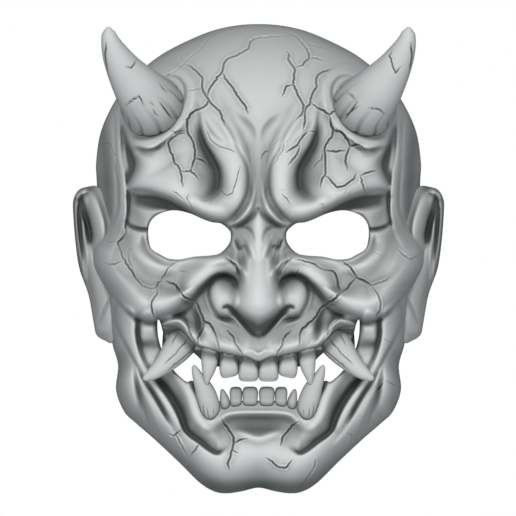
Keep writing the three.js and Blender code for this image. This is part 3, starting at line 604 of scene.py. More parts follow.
def smooth(t: np.ndarray) -> np.ndarray:
    """Ease from nought to one."""
    c = np.clip(t, 0.0, 1.0)
    return c * c * (3.0 - 2.0 * c)


def spline(rows: Rows, closed: bool = False, steps: int = 6) -> np.ndarray:
    """Run smoothly through rows of numbers, all columns together.

    Args:
        rows: Rows to pass through.
        closed: Whether the last row leads back to the first.
        steps: Pieces between two rows.

    Returns:
        The rows of the smooth run.
    """
    p = np.array(rows, float)
    ends = ([p[-1]], [p[0], p[1]]) if closed else ([2 * p[0] - p[1]], [2 * p[-1] - p[-2]])
    q = np.vstack([ends[0], p, ends[1]])
    out = []
    for i in range(len(q) - 3):
        a, b, c, d = q[i : i + 4]
        for k in range(steps):
            t = k / steps
            curve = 2 * b + (c - a) * t + (2 * a - 5 * b + 4 * c - d) * t * t
            out.append(0.5 * (curve + (3 * b - a - 3 * c + d) * t**3))
    out.append(out[0] if closed else p[-1])
    return np.array(out)


def both_halves(outline: Rows) -> Rows:
    """Closed outline from its left half."""
    return tuple(outline) + tuple((2 * MID_X - x, y) for x, y in outline[-2:0:-1])


class Polar:
    """Distance from a middle point to a closed outline in every direction."""

    def __init__(self, line: np.ndarray, middle: tuple[float, float]) -> None:
        """Measure the outline.

        Args:
            line: Points of the outline.
            middle: Point that sees all of it.
        """
        self.x, self.y = middle
        angle = np.arctan2(line[:, 0] - self.x, line[:, 1] - self.y)
        order = np.argsort(angle)
        self.angle = angle[order]
        self.reach = np.hypot(line[:, 0] - self.x, line[:, 1] - self.y)[order]

    def radius(self, angle: np.ndarray) -> np.ndarray:
        """Radius of the outline at each angle."""
        return np.interp(angle, self.angle, self.reach, period=2 * math.pi)

    def share(self, x: np.ndarray, y: np.ndarray) -> np.ndarray:
        """How far out each point lies, one on the outline."""
        return np.hypot(x - self.x, y - self.y) / self.radius(np.arctan2(x - self.x, y - self.y))


class Sheet:
    """Raster of the front drawing that the carving is worked out on."""

    def __init__(self, left: float, top: float, right: float, low: float, step: float) -> None:
        """Lay out the raster.

        Args:
            left: Least x.
            top: Least y.
            right: Greatest x.
            low: Greatest y.
            step: Distance between neighbours.
        """
        self.left, self.top, self.step = left, top, step
        self.xs = np.arange(left, right + step / 2, step)
        self.ys = np.arange(top, low + step / 2, step)
        self.x, self.y = np.meshgrid(self.xs, self.ys)

    def blank(self) -> np.ndarray:
        """A field of noughts."""
        return np.zeros(self.x.shape)

    def blur(self, values: np.ndarray, spread: float) -> np.ndarray:
        """Soften a field.

        Args:
            values: Field over the raster.
            spread: Distance of the softening.

        Returns:
            The softened field.
        """
        n = max(1, int(3 * spread / self.step))
        taps = np.exp(-0.5 * (np.arange(-n, n + 1) * self.step / spread) ** 2)
        taps /= taps.sum()
        out = values
        for axis in (0, 1):
            pad = [(n, n) if a == axis else (0, 0) for a in (0, 1)]
            wide = np.pad(out, pad, mode="edge")
            size = out.shape[axis]
            out = sum(w * np.take(wide, range(k, k + size), axis=axis) for k, w in enumerate(taps))
        return out

    def closed(self, depth: np.ndarray) -> np.ndarray:
        """Find how much of the sky the neighbours hide.

        Args:
            depth: Heights over the raster.

        Returns:
            Hidden share of each place, below nought on crests.
        """
        hidden = self.blank()
        for angle in np.arange(HORIZON_TURNS) * 2 * math.pi / HORIZON_TURNS:
            steepest = np.full(depth.shape, -99.0)
            for reach in HORIZON_REACH:
                down, right = reach * math.sin(angle) / self.step, reach * math.cos(angle) / self.step
                moved = np.roll(depth, (round(down), round(right)), (0, 1))
                np.maximum(steepest, (moved - depth) / reach, out=steepest)
            hidden += steepest / np.sqrt(1 + steepest**2)
        return hidden / HORIZON_TURNS

    def read(self, values: np.ndarray, x: np.ndarray, y: np.ndarray) -> np.ndarray:
        """Read a field at any points.

        Args:
            values: Field over the raster.
            x: Where to read it.
            y: Where to read it.

        Returns:
            The value at each point.
        """
        gx = np.clip((x - self.left) / self.step, 0, len(self.xs) - 1.001)
        gy = np.clip((y - self.top) / self.step, 0, len(self.ys) - 1.001)
        i, j = gx.astype(int), gy.astype(int)
        fx, fy = gx - i, gy - j
        low = values[j, i] * (1 - fx) + values[j, i + 1] * fx
        high = values[j + 1, i] * (1 - fx) + values[j + 1, i + 1] * fx
        return low * (1 - fy) + high * fy

    def near(self, line: np.ndarray, reach: float) -> tuple[np.ndarray, ...]:
        """Find the nearest place on a line.

        Args:
            line: Rows of x, y and any further numbers.
            reach: Farthest distance that counts.

        Returns:
            Distance, side (above nought on the left of the run), other columns, and where it is in reach.
        """
        best = np.full(self.x.shape, reach * reach)
        side = self.blank()
        extra = np.zeros(self.x.shape + (line.shape[1] - 2,))
        for a, b in zip(line[:-1], line[1:]):
            lo, hi = np.minimum(a[:2], b[:2]) - reach, np.maximum(a[:2], b[:2]) + reach
            i0, i1 = np.searchsorted(self.xs, (lo[0], hi[0]))
            j0, j1 = np.searchsorted(self.ys, (lo[1], hi[1]))
            if i0 >= i1 or j0 >= j1:
                continue
            part = np.s_[j0:j1, i0:i1]
            x, y = self.x[part] - a[0], self.y[part] - a[1]
            run = b[:2] - a[:2]
            t = np.clip((x * run[0] + y * run[1]) / max(run @ run, 1e-12), 0, 1)
            dx, dy = x - t * run[0], y - t * run[1]
            square = dx * dx + dy * dy
            nearer = square < best[part]
            best[part][nearer] = square[nearer]
            side[part][nearer] = -np.sign(run[0] * dy - run[1] * dx)[nearer]
            extra[part][nearer] = (a[2:] + t[..., None] * (b[2:] - a[2:]))[nearer]
        return np.sqrt(best), side, extra, best < reach * reach

    def stroke(self, s: Stroke) -> np.ndarray:
        """Work out one carved line.

        Args:
            s: The line.

        Returns:
            Its height over the raster.
        """
        line = spline(s.rows)
        d, side, row, hit = self.near(line, float(line[:, 3:5].max()))
        height, wide = row[..., 0], np.maximum(np.where(side >= 0, row[..., 1], row[..., 2]), 1e-6)
        t = np.clip(d / wide, 0, 1)
        if s.form is Form.CORD:
            out = height * (1 - t * t) ** 0.6
        elif s.form is Form.BAND:
            out = height * (1 - t**4) ** 0.7
        elif s.form is Form.SOFT:
            out = height * (1 - t * t) ** 2
        elif s.form is Form.CREASE:
            out = -height * (1 - t) ** 2
        else:
            fade = smooth((d - s.edge) / np.maximum(wide - s.edge, 1e-6))
            up = np.sqrt(1 - (1 - np.clip(d / s.edge, 0, 1)) ** 2) * (1 - fade)
            out = np.where(side >= 0, height * up, -0.3 * height * (1 - t) ** 2)
        out = np.where(hit & (t < 1), out, 0)
        return self.blur(out, s.soften * 0.5) if s.soften else out

    def turned(self, m: Mass | Lump) -> tuple[np.ndarray, np.ndarray]:
        """Measure places in the half widths of a hill.

        Args:
            m: The hill.

        Returns:
            Places along and across its turn.
        """
        c, s = math.cos(math.radians(m.turn)), math.sin(math.radians(m.turn))
        x, y = self.x - m.x, self.y - m.y
        return (x * c + y * s) / m.wide, (y * c - x * s) / m.tall

    def mass(self, m: Mass) -> np.ndarray:
        """Height of one soft mass."""
        p, q = self.turned(m)
        return m.height * np.exp(-0.5 * (p**2 + q**2))

    def lump(self, m: Lump) -> np.ndarray:
        """Height of one domed lump."""
        p, q = self.turned(m)
        return m.height * np.clip(1 - (p**2 + q**2), 0, 1) ** m.power

    def crack(self, crack: Crack, number: int) -> np.ndarray:
        """Work out one crack: a narrow valley between raised lips, thinner at its ends.

        Args:
            crack: Where it runs and its sizes.
            number: Its place in its list, from which its jags follow.

        Returns:
            Its height, below nought in the valley.
        """
        points = np.array([[float(v) for v in pair.split(",")] for pair in crack.points.split()])
        along = np.concatenate([[0], np.cumsum(np.hypot(*np.diff(points, axis=0).T))])
        at = np.linspace(0, along[-1], max(4, int(along[-1] / CRACK_PIECE)))
        shake = np.random.default_rng(number).normal(0, CRACK_STRAY, (len(at), 2))
        shake[[0, -1]] = 0
        line = np.column_stack([np.interp(at, along, column) for column in points.T]) + shake
        ease = np.sqrt(np.clip(np.minimum(at, along[-1] - at) / CRACK_THIN, 0.12, 1))
        d, _, row, hit = self.near(np.column_stack([line, ease]), crack.wide * 3.2)
        e = np.maximum(row[..., 0], 1e-6)
        t = d / (crack.wide * (0.5 + 0.5 * e))
        valley = -crack.deep * e * np.clip(1 - t, 0, 1) ** 1.4
        lips = crack.lip * e * np.exp(-(((t - 1.5) / 0.6) ** 2))
        return np.where(hit, valley + lips, 0)

    def cracks(self, cracks: tuple[Crack, ...]) -> np.ndarray:
        """Work out many cracks, the deepest counting where they cross.

        Args:
            cracks: The cracks.

        Returns:
            Their height over the raster.
        """
        z = self.blank()
        for number, crack in enumerate(cracks):
            found = self.crack(crack, number)
            z = np.where(found < 0, np.minimum(z, found), np.where(z < 0, z, np.maximum(z, found)))
        return z


class Carving:
    """Heights of the front of the face over the drawing, in shares."""

    def __init__(self, step: float) -> None:
        """Carve the whole front.

        Args:
            step: Distance between neighbours of the raster.
        """
        self.head = Polar(spline(both_halves(HEAD), closed=True), (MID_X, CENTRE_Y))
        self.half = Sheet(SHEET_LEFT, SHEET_TOP, MID_X + 8, SHEET_LOW, step)
        self.full = Sheet(SHEET_LEFT, SHEET_TOP, 2 * MID_X - SHEET_LEFT, SHEET_LOW, step)
        ground = self.ground(self.full)
        carved = self.mirrored(self.left_half())
        for mass in MIDDLE_MASSES:
            carved += self.full.mass(mass)
        carved = self.full.blur(carved, 0.9)
        carved += self.mirrored(self.hole_edges())
        carved += self.full.cracks(MAIN_CRACKS + FINE_CRACKS)
        self.depth = ground + carved * np.minimum(1, ground / FULL_CARVING_DEPTH)
        # Painted shade: darker where the neighbours hide the sky, plus the painted shade and light of the
        # strokes
        self.painted_shade = self.full.closed(self.depth) + self.shaded(PAINTED_LIGHT_AND_SHADE)

    def ground(self, sheet: Sheet) -> np.ndarray:
        """Work out the plain head form before any carving.

        Args:
            sheet: Raster to work it out on.

        Returns:
            Its height over the raster.
        """
        share = np.clip(self.head.share(sheet.x, sheet.y), 0, 1)
        low = smooth((sheet.y - JAW_TOP) / JAW_SPAN)
        depth = HEAD_DEPTH + MOUTH_GAIN * smooth((sheet.y - GAIN_TOP) / GAIN_SPAN) - JAW_LOSS * low * share**2
        return depth * np.clip(1 - share ** (BROW_FALL + JAW_FALL * low), 0, 1) ** EDGE_ROUND

    def mirrored(self, half: np.ndarray) -> np.ndarray:
        """Make a whole field from its left half, blended across the middle.

        Args:
            half: Field over the left half.

        Returns:
            The field over the whole drawing.
        """
        whole = self.full.blank()
        whole[:, : half.shape[1]] = half * smooth((MID_X + 4 - self.half.x) / 8)
        return whole + whole[:, ::-1]

    def shaded(self, shades: tuple[Stroke, ...]) -> np.ndarray:
        """Darkness of painted shade strokes that are alike on both sides, below nought where they paint
        light.
        """
        return self.mirrored(sum(self.half.stroke(s) for s in shades))

    def left_half(self) -> np.ndarray:
        """Carve the left half.

        Returns:
            Height of all its carving.
        """
        z = self.half.blank()
        for m in MASSES:
            z += self.half.mass(m)
        for m in LUMPS:
            z += self.half.lump(m)
        for s in STROKES:
            z += self.half.stroke(s)
        return z

    def grooved(self, both: tuple[Crack, ...], single: tuple[Crack, ...] = ()) -> np.ndarray:
        """Work out grooves and cracks of the spikes.

        Args:
            both: Grooves that are alike on both sides.
            single: Cracks that aren't.

        Returns:
            Their height over the whole drawing.
        """
        once = self.full.cracks(both)
        z = np.minimum(once, once[:, ::-1])
        return np.minimum(z, self.full.cracks(single)) if single else z

    def hole_edges(self) -> np.ndarray:
        """Roll the edges of the eye and mouth holes inwards.

        Returns:
            Their height over the left half.
        """
        z = self.half.blank()
        for outline, roll in ((EYE, EYE_ROLL), (MOUTH, MOUTH_ROLL)):
            d, _, _, hit = self.half.near(spline(outline, closed=True), roll)
            z -= np.where(hit, roll * (1 - d / roll) ** 2, 0)
        return z

    def back(self, wall: float) -> np.ndarray:
        """Work out the inner surface, one wall behind the front everywhere.

        Args:
            wall: Thickness of the wall.

        Returns:
            Its height over the whole drawing.
        """
        low = self.depth - wall
        for ring in BALL_RINGS:
            drop = wall * math.sqrt(1 - ring * ring)
            for k in range(BALL_TURNS):
                angle = k * 2 * math.pi / BALL_TURNS
                i = round(wall * ring * math.cos(angle) / self.full.step)
                j = round(wall * ring * math.sin(angle) / self.full.step)
                low = np.minimum(low, np.roll(self.depth, (j, i), (0, 1)) - drop)
        return self.full.blur(low, BACK_BLUR) - BACK_SLACK


# Outline of the left ear, its middle, and the strokes over its plate
EAR = (
    (98, 187), (87, 186.5), (78, 190), (73, 199), (72.5, 211), (75, 243), (79, 269), (88, 295), (93, 322),
    (96, 335), (105, 341), (113, 342), (120, 320), (122, 277), (118, 237), (110, 205),
)
EAR_MIDDLE = (100.0, 262.0)
EAR_STROKES = (
    Stroke("rim", CORD, (
        (85, 189, 9, 5, 5), (77, 194, 10, 5, 5), (75, 207, 10, 3.5, 3.5), (75.5, 224, 9, 3, 3.5),
        (77.5, 244, 8, 3, 3.5), (80.5, 262, 6, 3.5, 4), (84, 278, 3, 4, 5)), 6, 1),
    Stroke("front roll", CORD, (
        (78, 194, 5, 6, 6), (84, 194, 10, 8, 7), (89.5, 200, 14, 8.5, 8), (94.5, 211, 16, 8, 8),
        (98.5, 224, 16, 7.5, 8), (99.5, 235, 13, 6.5, 7), (96, 245, 6, 6, 6)), 6, 1),
    Stroke("inner plane", SOFT, (
        (79.5, 203, 2, 3, 4), (81, 212, 7, 4, 4), (82.5, 224, 7, 4, 4), (83.5, 236, 3, 4, 4),
        (84, 246, 0, 4, 4))),
    Stroke("slit", SOFT, (
        (79, 206, -2, 2.5, 2.5), (82, 211, -6, 2.5, 3), (86, 221, -9, 3, 3.5), (90, 233, -9, 3, 3.5),
        (92, 244, -3, 3, 3))),
    Stroke("rim groove", SOFT, (
        (78.5, 208, -2, 2.5, 2.5), (79.5, 224, -3, 2.5, 2.5), (81.5, 242, -3, 2.5, 2.5),
        (84, 258, -1, 3, 3))),
    Stroke("inner roll", CORD, (
        (83, 220, 3, 3, 3), (84.5, 236, 7, 4, 4), (87, 252, 9, 5.5, 5), (91, 268, 10, 7, 6),
        (96, 284, 10, 8, 7), (100.5, 300, 9, 8, 7), (103, 316, 7, 8, 7), (102, 328, 5, 8, 7)), 6, 2),
    Stroke("lobe fold", CREASE, (
        (111, 296, 0, 4, 4), (105, 308, 6, 4, 4), (100.5, 318, 5, 4, 4), (97.5, 326, 0, 3, 3))),
)
# How steeply the front of the ear climbs the side of the head, and where it starts to
EAR_CLIMB, EAR_CLIMB_X = 2.2, 88

# Where along a fluted spike its flutes end, and over what share of it they fade
FLUTE_END, FLUTE_FADE = 0.55, 0.35
# Shares of a spike over which its tip and its tail close
TIP, TAIL = 0.06, 0.03


def place(x: np.ndarray, y: np.ndarray, z: np.ndarray) -> np.ndarray:
    """Row frame position in metres of points on the drawing."""
    return np.column_stack([(x - MID_X) * SHARE, (MID_Y - y + SHIFT) * SHARE, z * SHARE])


def drawing(co: np.ndarray) -> tuple[np.ndarray, np.ndarray, np.ndarray]:
    """Drawing x, y and height in shares of positions in metres."""
    return co[:, 0] / SHARE + MID_X, MID_Y + SHIFT - co[:, 1] / SHARE, co[:, 2] / SHARE


@dataclass(frozen=True)
class Spike:
    """A solid swept along rows of x, y, z, radius across and radius front to back."""

    name: str
    rows: Rows
    around: int = 32
    along: int = 28
    flutes: int = 0
    cut: float = 0.0
    square: float = 2.0

    def body(self, flip: bool) -> bmesh.types.BMesh:
        """Make the closed body.

        Args:
            flip: Whether it stands on the right side instead of the left.

        Returns:
            The body in metres, with the painted shade of its flutes.
        """
        bm = bmesh.new()
        bmesh.ops.create_uvsphere(bm, u_segments=self.around, v_segments=self.along, radius=1)
        p = np.array([v.co for v in bm.verts])
        t = np.arccos(np.clip(p[:, 2], -1, 1)) / math.pi
        angle = np.arctan2(p[:, 1], p[:, 0])
        rows = np.array(self.rows, float)
        rows[:, 0], rows[:, 1] = rows[:, 0] - MID_X, MID_Y - rows[:, 1]
        line = spline(tuple(map(tuple, rows)), steps=16)
        at = np.linspace(0, 1, len(line))
        value = [np.interp(t, at, line[:, c]) for c in range(5)]
        ahead = np.column_stack([np.interp(t, at, np.gradient(line[:, c])) for c in range(3)])
        ahead /= np.linalg.norm(ahead, axis=1, keepdims=True)
        side = np.column_stack([ahead[:, 1], -ahead[:, 0], np.zeros(len(t))])
        side /= np.linalg.norm(side, axis=1, keepdims=True)
        r, hollow = self.girth(t, angle)
        across, deep = r * value[3] * np.cos(angle), r * value[4] * np.sin(angle)
        spot = np.column_stack(value[:3]) + side * across[:, None] + np.cross(ahead, side) * deep[:, None]
        if flip:
            spot[:, 0] *= -1
        # Painted shade of the flutes, kept on each vertex
        layer = bm.verts.layers.float.new("painted_shade")
        for v, c, low in zip(bm.verts, place(spot[:, 0] + MID_X, MID_Y - spot[:, 1], spot[:, 2]), hollow):
            v.co = c
            v[layer] = low
        if bm.calc_volume(signed=True) < 0:
            bmesh.ops.reverse_faces(bm, faces=bm.faces)
        return bm

    def girth(self, t: np.ndarray, angle: np.ndarray) -> tuple[np.ndarray, np.ndarray]:
        """Work out the shape of the section along the spike.

        Args:
            t: Share of the way from root to tip.
            angle: Angle around the spike.

        Returns:
            Share of the full radius, and the painted shade of the flutes.
        """
        tip = np.minimum(1, np.sqrt(np.clip((1 - t) / TIP, 0, 1)))
        tail = np.minimum(1, np.sqrt(np.clip(t / TAIL, 0, 1)))
        power = self.square
        r = (np.abs(np.cos(angle)) ** power + np.abs(np.sin(angle)) ** power) ** (-1 / power) * tip * tail
        r = np.where(np.sin(t * math.pi) < 1e-6, 0, r)
        if not self.flutes:
            return r, np.zeros(len(t))
        wave = 0.5 + 0.5 * np.cos(self.flutes * angle + 1.3 * np.sin(2 * angle) + 2.2 * t)
        hollow = smooth((FLUTE_END - t) / FLUTE_FADE) * wave**6
        # The flutes are cut in by their depth, and half of it is painted shade in them
        return r * (1 - self.cut * hollow), 0.5 * hollow


HORN = Spike("horn", (
    (162.5, 119.5, 72, 20, 20), (156.5, 111.5, 116, 30, 30), (152.5, 106.5, 148, 32, 31),
    (148.5, 101, 174, 29, 29), (138.5, 89, 194, 24.5, 24.5), (126, 72, 211, 18.5, 18.5),
    (116.5, 55.5, 224, 13.5, 13.5), (111, 41.5, 233, 9, 9), (109, 28.5, 238, 5, 5)), 220, 150, 11, 0.06)
SPIKES = (
    Spike("tusk", (
        (193.5, 328, 170, 15, 11), (184.5, 339.5, 184, 15.5, 12), (176, 350.5, 196, 13.8, 11.5),
        (166.5, 361.5, 204, 10.6, 10), (156, 371, 209, 7.4, 7.4), (148.5, 376, 211, 4.6, 4.6),
        (143.6, 378.8, 212, 2.2, 2.2)), 96, 90),
    Spike("fang", (
        (211.5, 343, 188, 9, 8), (210.8, 354, 199, 9.5, 8), (209, 368, 205, 7, 6.5),
        (207.4, 378, 205, 3.8, 4), (207, 384, 204, 1.6, 1.6)), 56, 50),
    Spike("canine", (
        (213, 426, 170, 9.5, 7), (211, 414, 190, 10, 8), (208.8, 402, 195, 10.6, 8.5),
        (205, 390, 197, 9.6, 8), (200, 379.5, 199, 6.8, 6.5), (196, 370.5, 200, 4, 4.2),
        (193.8, 364, 200, 1.6, 1.6)), 72, 70),
    Spike("small canine", (
        (226.5, 414, 180, 4.6, 5.5), (226, 407, 191, 5, 6), (224.5, 398, 195, 4.6, 5.5),
        (222, 388, 197, 1.5, 1.8)), 28, 24),
    Spike("premolar", (
        (194.5, 409.5, 170, 6, 6), (191.5, 396.5, 181, 5.8, 5.5),
        (191.5, 380, 187, 3.2, 3.2)), 32, 28, 6, 0.05),
    Spike("side tooth", (
        (170.5, 329.5, 168, 7, 6), (168.5, 345.5, 174, 6, 6), (165.5, 357.5, 176, 2.5, 2.5)), 24, 20),
    Spike("upper front tooth", (
        (248.6, 350, 194, 9, 7), (248.6, 359, 203, 9.7, 8), (248.6, 371, 205, 10.1, 8),
        (248.6, 376.3, 204, 9.8, 7), (248.6, 378.4, 203, 8.4, 5)), 44, 40, 0, 0, 3.0),
    Spike("upper side tooth", (
        (229, 347, 193, 8.4, 7), (229, 357, 202, 9.3, 8), (229.2, 367, 204, 9.6, 8),
        (229.6, 372.3, 203, 9.2, 7), (230, 374.6, 202, 7.6, 5)), 44, 40, 0, 0, 3.0),
    Spike("lower front tooth", (
        (250.2, 414, 180, 6.0, 6), (250.2, 408, 189, 6.4, 6), (250.2, 401, 195, 7.2, 6),
        (250.2, 391.6, 196, 7.9, 6), (250.2, 389.4, 195, 6.6, 4.6)), 40, 36, 0, 0, 3.0),
    Spike("lower side tooth", (
        (236.2, 414, 180, 4.8, 6), (236.2, 408, 188, 5.2, 6), (236.1, 401, 194, 5.8, 6),
        (236, 391.8, 195, 6.3, 6), (236, 389.6, 194, 5.2, 4.6)), 40, 36, 0, 0, 3.0),
)


def to_object(name: str, data: bpy.types.ID) -> bpy.types.Object:
    """Put a mesh, lamp or camera into the scene.

    Args:
        name: Name of the object.
        data: What it holds.

    Returns:
        The object, at the origin.
    """
    made = bpy.data.objects.new(name, data)
    bpy.context.scene.collection.objects.link(made)
    return made


def to_mesh(name: str, bm: bmesh.types.BMesh) -> bpy.types.Mesh:
    """Turn a bmesh into a mesh.

    Args:
        name: Name of the mesh.
        bm: Bmesh, which is freed.

    Returns:
        The mesh.
    """
    mesh = bpy.data.meshes.new(name)
    bm.to_mesh(mesh)
    bm.free()
    return mesh


def corners(mesh: bpy.types.Mesh) -> np.ndarray:
    """Read the vertex positions.

    Args:
        mesh: Mesh to read.

    Returns:
        One row for each vertex.
    """
    co = np.empty(len(mesh.vertices) * 3)
    mesh.vertices.foreach_get("co", co)
    return co.reshape(-1, 3)


def settle(mesh: bpy.types.Mesh, co: np.ndarray) -> None:
    """Move a mesh's vertices."""
    mesh.vertices.foreach_set("co", np.ascontiguousarray(co, dtype=np.float32).ravel())
    mesh.update()


def spread(s: np.ndarray) -> np.ndarray:
    """Share of the radius for each ring, closer together near the rim."""
    return np.where(s < 0.8, s * 1.05, 0.84 + 0.16 * np.sin((s - 0.8) / 0.2 * math.pi / 2))


@dataclass(frozen=True)
class Shield:
    """Closed body whose front is a grid stretched over an outline and whose back meets in one point."""

    polar: Polar
    across: int
    down: int

    def build(self, name: str, front: Heights, floor: float, inset: float = 0.0) -> bpy.types.Mesh:
        """Make the body.

        Args:
            name: Name of the mesh.
            front: Height over the drawing as a function of x and y.
            floor: Height of the rim.
            inset: How far the rim lies inside the outline.

        Returns:
            A closed mesh in metres.
        """
        bm = bmesh.new()
        bmesh.ops.create_grid(bm, x_segments=self.across, y_segments=self.down, size=1)
        rim = [e for e in bm.edges if e.is_boundary]
        walls = bmesh.ops.extrude_edge_only(bm, edges=rim)["geom"]
        new = [v for v in walls if isinstance(v, bmesh.types.BMVert)]
        for v in new:
            v.co = (0, 0, -1)
        bmesh.ops.remove_doubles(bm, verts=new, dist=1e-6)
        bmesh.ops.recalc_face_normals(bm, faces=bm.faces)
        mesh = to_mesh(name, bm)
        co = corners(mesh)
        s = np.maximum(np.abs(co[:, 0]), np.abs(co[:, 1]))
        angle = np.arctan2(co[:, 0], -co[:, 1])
        reach = spread(s) * (self.polar.radius(angle) - inset)
        x, y = self.polar.x + reach * np.sin(angle), self.polar.y + reach * np.cos(angle)
        z = np.where(s > 0.99999, floor, np.maximum(front(x, y), floor + 0.2))
        z = np.where(co[:, 2] < -0.5, floor, z)
        settle(mesh, place(x, y, z))
        bm = bmesh.new()
        bm.from_mesh(mesh)
        bmesh.ops.recalc_face_normals(bm, faces=bm.faces)
        bm.to_mesh(mesh)
        bm.free()
        return mesh


def prism(name: str, outline: np.ndarray, low: float, high: float) -> bpy.types.Mesh:
    """Make a straight bar over a closed outline of the drawing.

    Args:
        name: Name of the mesh.
        outline: Points of the outline.
        low: Height of its foot.
        high: Height of its top.

    Returns:
        A closed mesh in metres.
    """
    bm = bmesh.new()
    made = bmesh.ops.create_circle(bm, cap_ends=True, radius=1, segments=len(outline))["verts"]
    for v, p in zip(made, place(outline[:, 0], outline[:, 1], np.full(len(outline), low))):
        v.co = p
    top = bmesh.ops.extrude_face_region(bm, geom=list(bm.faces))["geom"]
    for v in top:
        if isinstance(v, bmesh.types.BMVert):
            v.co.z = high * SHARE
    bmesh.ops.recalc_face_normals(bm, faces=bm.faces)
    return to_mesh(name, bm)


def evaluated(body: bpy.types.Object) -> bpy.types.Mesh:
    """Apply the modifiers of an object.

    Args:
        body: The object, which stays as it is.

    Returns:
        A mesh of its own with the outcome.
    """
    graph = bpy.context.evaluated_depsgraph_get()
    body = body.evaluated_get(graph)
    return bpy.data.meshes.new_from_object(body, preserve_all_data_layers=True, depsgraph=graph)


def cut(body: bpy.types.Object, tools: list[bpy.types.Mesh], keep: int) -> None:
    """Cut tools out of a body and thin it.

    Args:
        body: Object whose mesh is replaced.
        tools: Closed meshes, which are used up.
        keep: Number of triangles to thin it to.
    """
    helpers = []
    for i, mesh in enumerate(tools):
        helper = to_object(f"{body.name}_tool_{i}", mesh)
        helpers.append(helper)
        mod = body.modifiers.new(f"cut_{i}", "BOOLEAN")
        mod.operation, mod.solver, mod.object = "DIFFERENCE", "MANIFOLD", helper
    made = evaluated(body)
    body.modifiers.clear()
    for helper in helpers:
        bpy.data.meshes.remove(helper.data)
    body.data = made
    count = sum(len(p.vertices) - 2 for p in made.polygons)
    if count > keep:
        mod = body.modifiers.new("thin", "DECIMATE")
        mod.ratio = keep / count
        made = evaluated(body)
        body.modifiers.clear()
        body.data = made


def paired(name: str, spikes: tuple[Spike, ...]) -> bpy.types.Mesh:
    """Make one mesh of spikes on both sides.

    Args:
        name: Name of the mesh.
        spikes: The spikes of the left side.

    Returns:
        A mesh of closed bodies in metres.
    """
    mesh = bpy.data.meshes.new(name)
    whole = bmesh.new()
    for spike in spikes:
        for flip in (False, True):
            part = spike.body(flip)
            part.to_mesh(mesh)
            part.free()
            whole.from_mesh(mesh)
    whole.to_mesh(mesh)
    whole.free()
    return mesh


def note_painted_shade(
    mesh: bpy.types.Mesh, sheet: Sheet, depth: np.ndarray, painted_shade: np.ndarray, folded: bool = False
) -> None:
    """Store on each vertex of a carved front the painted shade of its hollows.

    Args:
        mesh: Carved body in metres.
        sheet: Raster that the front was worked out on.
        depth: Height of the front.
        painted_shade: Painted shade of each place, darker the farther it lies below its neighbours.
        folded: Whether the raster holds the left side only.
    """
    x, y, z = drawing(corners(mesh))
    if folded:
        x = MID_X - np.abs(x - MID_X)
    value = np.where(np.abs(z - sheet.read(depth, x, y)) < 3, sheet.read(painted_shade, x, y), 0.0)
    layer = mesh.attributes.new("painted_shade", "FLOAT", "POINT")
    layer.data.foreach_set("value", value.astype(np.float32))


def root_in(
    mesh: bpy.types.Mesh, carving: Carving, cracks: np.ndarray, shade: np.ndarray | None = None
) -> None:
    """Paint shade on spikes where they enter the face and in their cracks, and cut cracks into them from the
    front.

    Args:
        mesh: Spikes in metres.
        carving: The face they stand on.
        cracks: Height of cracks over the whole drawing.
        shade: Painted shade over the whole drawing.
    """
    co = corners(mesh)
    x, y, z = drawing(co)
    layer = mesh.attributes["painted_shade"].data
    low = np.empty(len(co))
    layer.foreach_get("value", low)
    normal = np.empty(len(co) * 3)
    mesh.vertices.foreach_get("normal", normal)
    normal = normal.reshape(-1, 3)
    lift = carving.full.read(cracks, x, y) * smooth((normal[:, 2] - 0.1) / 0.4)
    settle(mesh, co + normal * (lift * SHARE)[:, None])
    # Painted shade in the cracks
    low = np.maximum(low, np.clip(-lift / 1.4, 0, 0.8))
    # Painted shade where a spike comes close to the face; the spikes are also a little darker all over
    above = np.clip(z - carving.full.read(carving.depth, x, y), 0, None)
    low = 0.06 + np.maximum(low, 0.55 * np.exp(-above / 2.5) + 0.22 * np.exp(-above / 16))
    if shade is not None:
        low += carving.full.read(shade, x, y)
    layer.foreach_set("value", low.astype(np.float32))


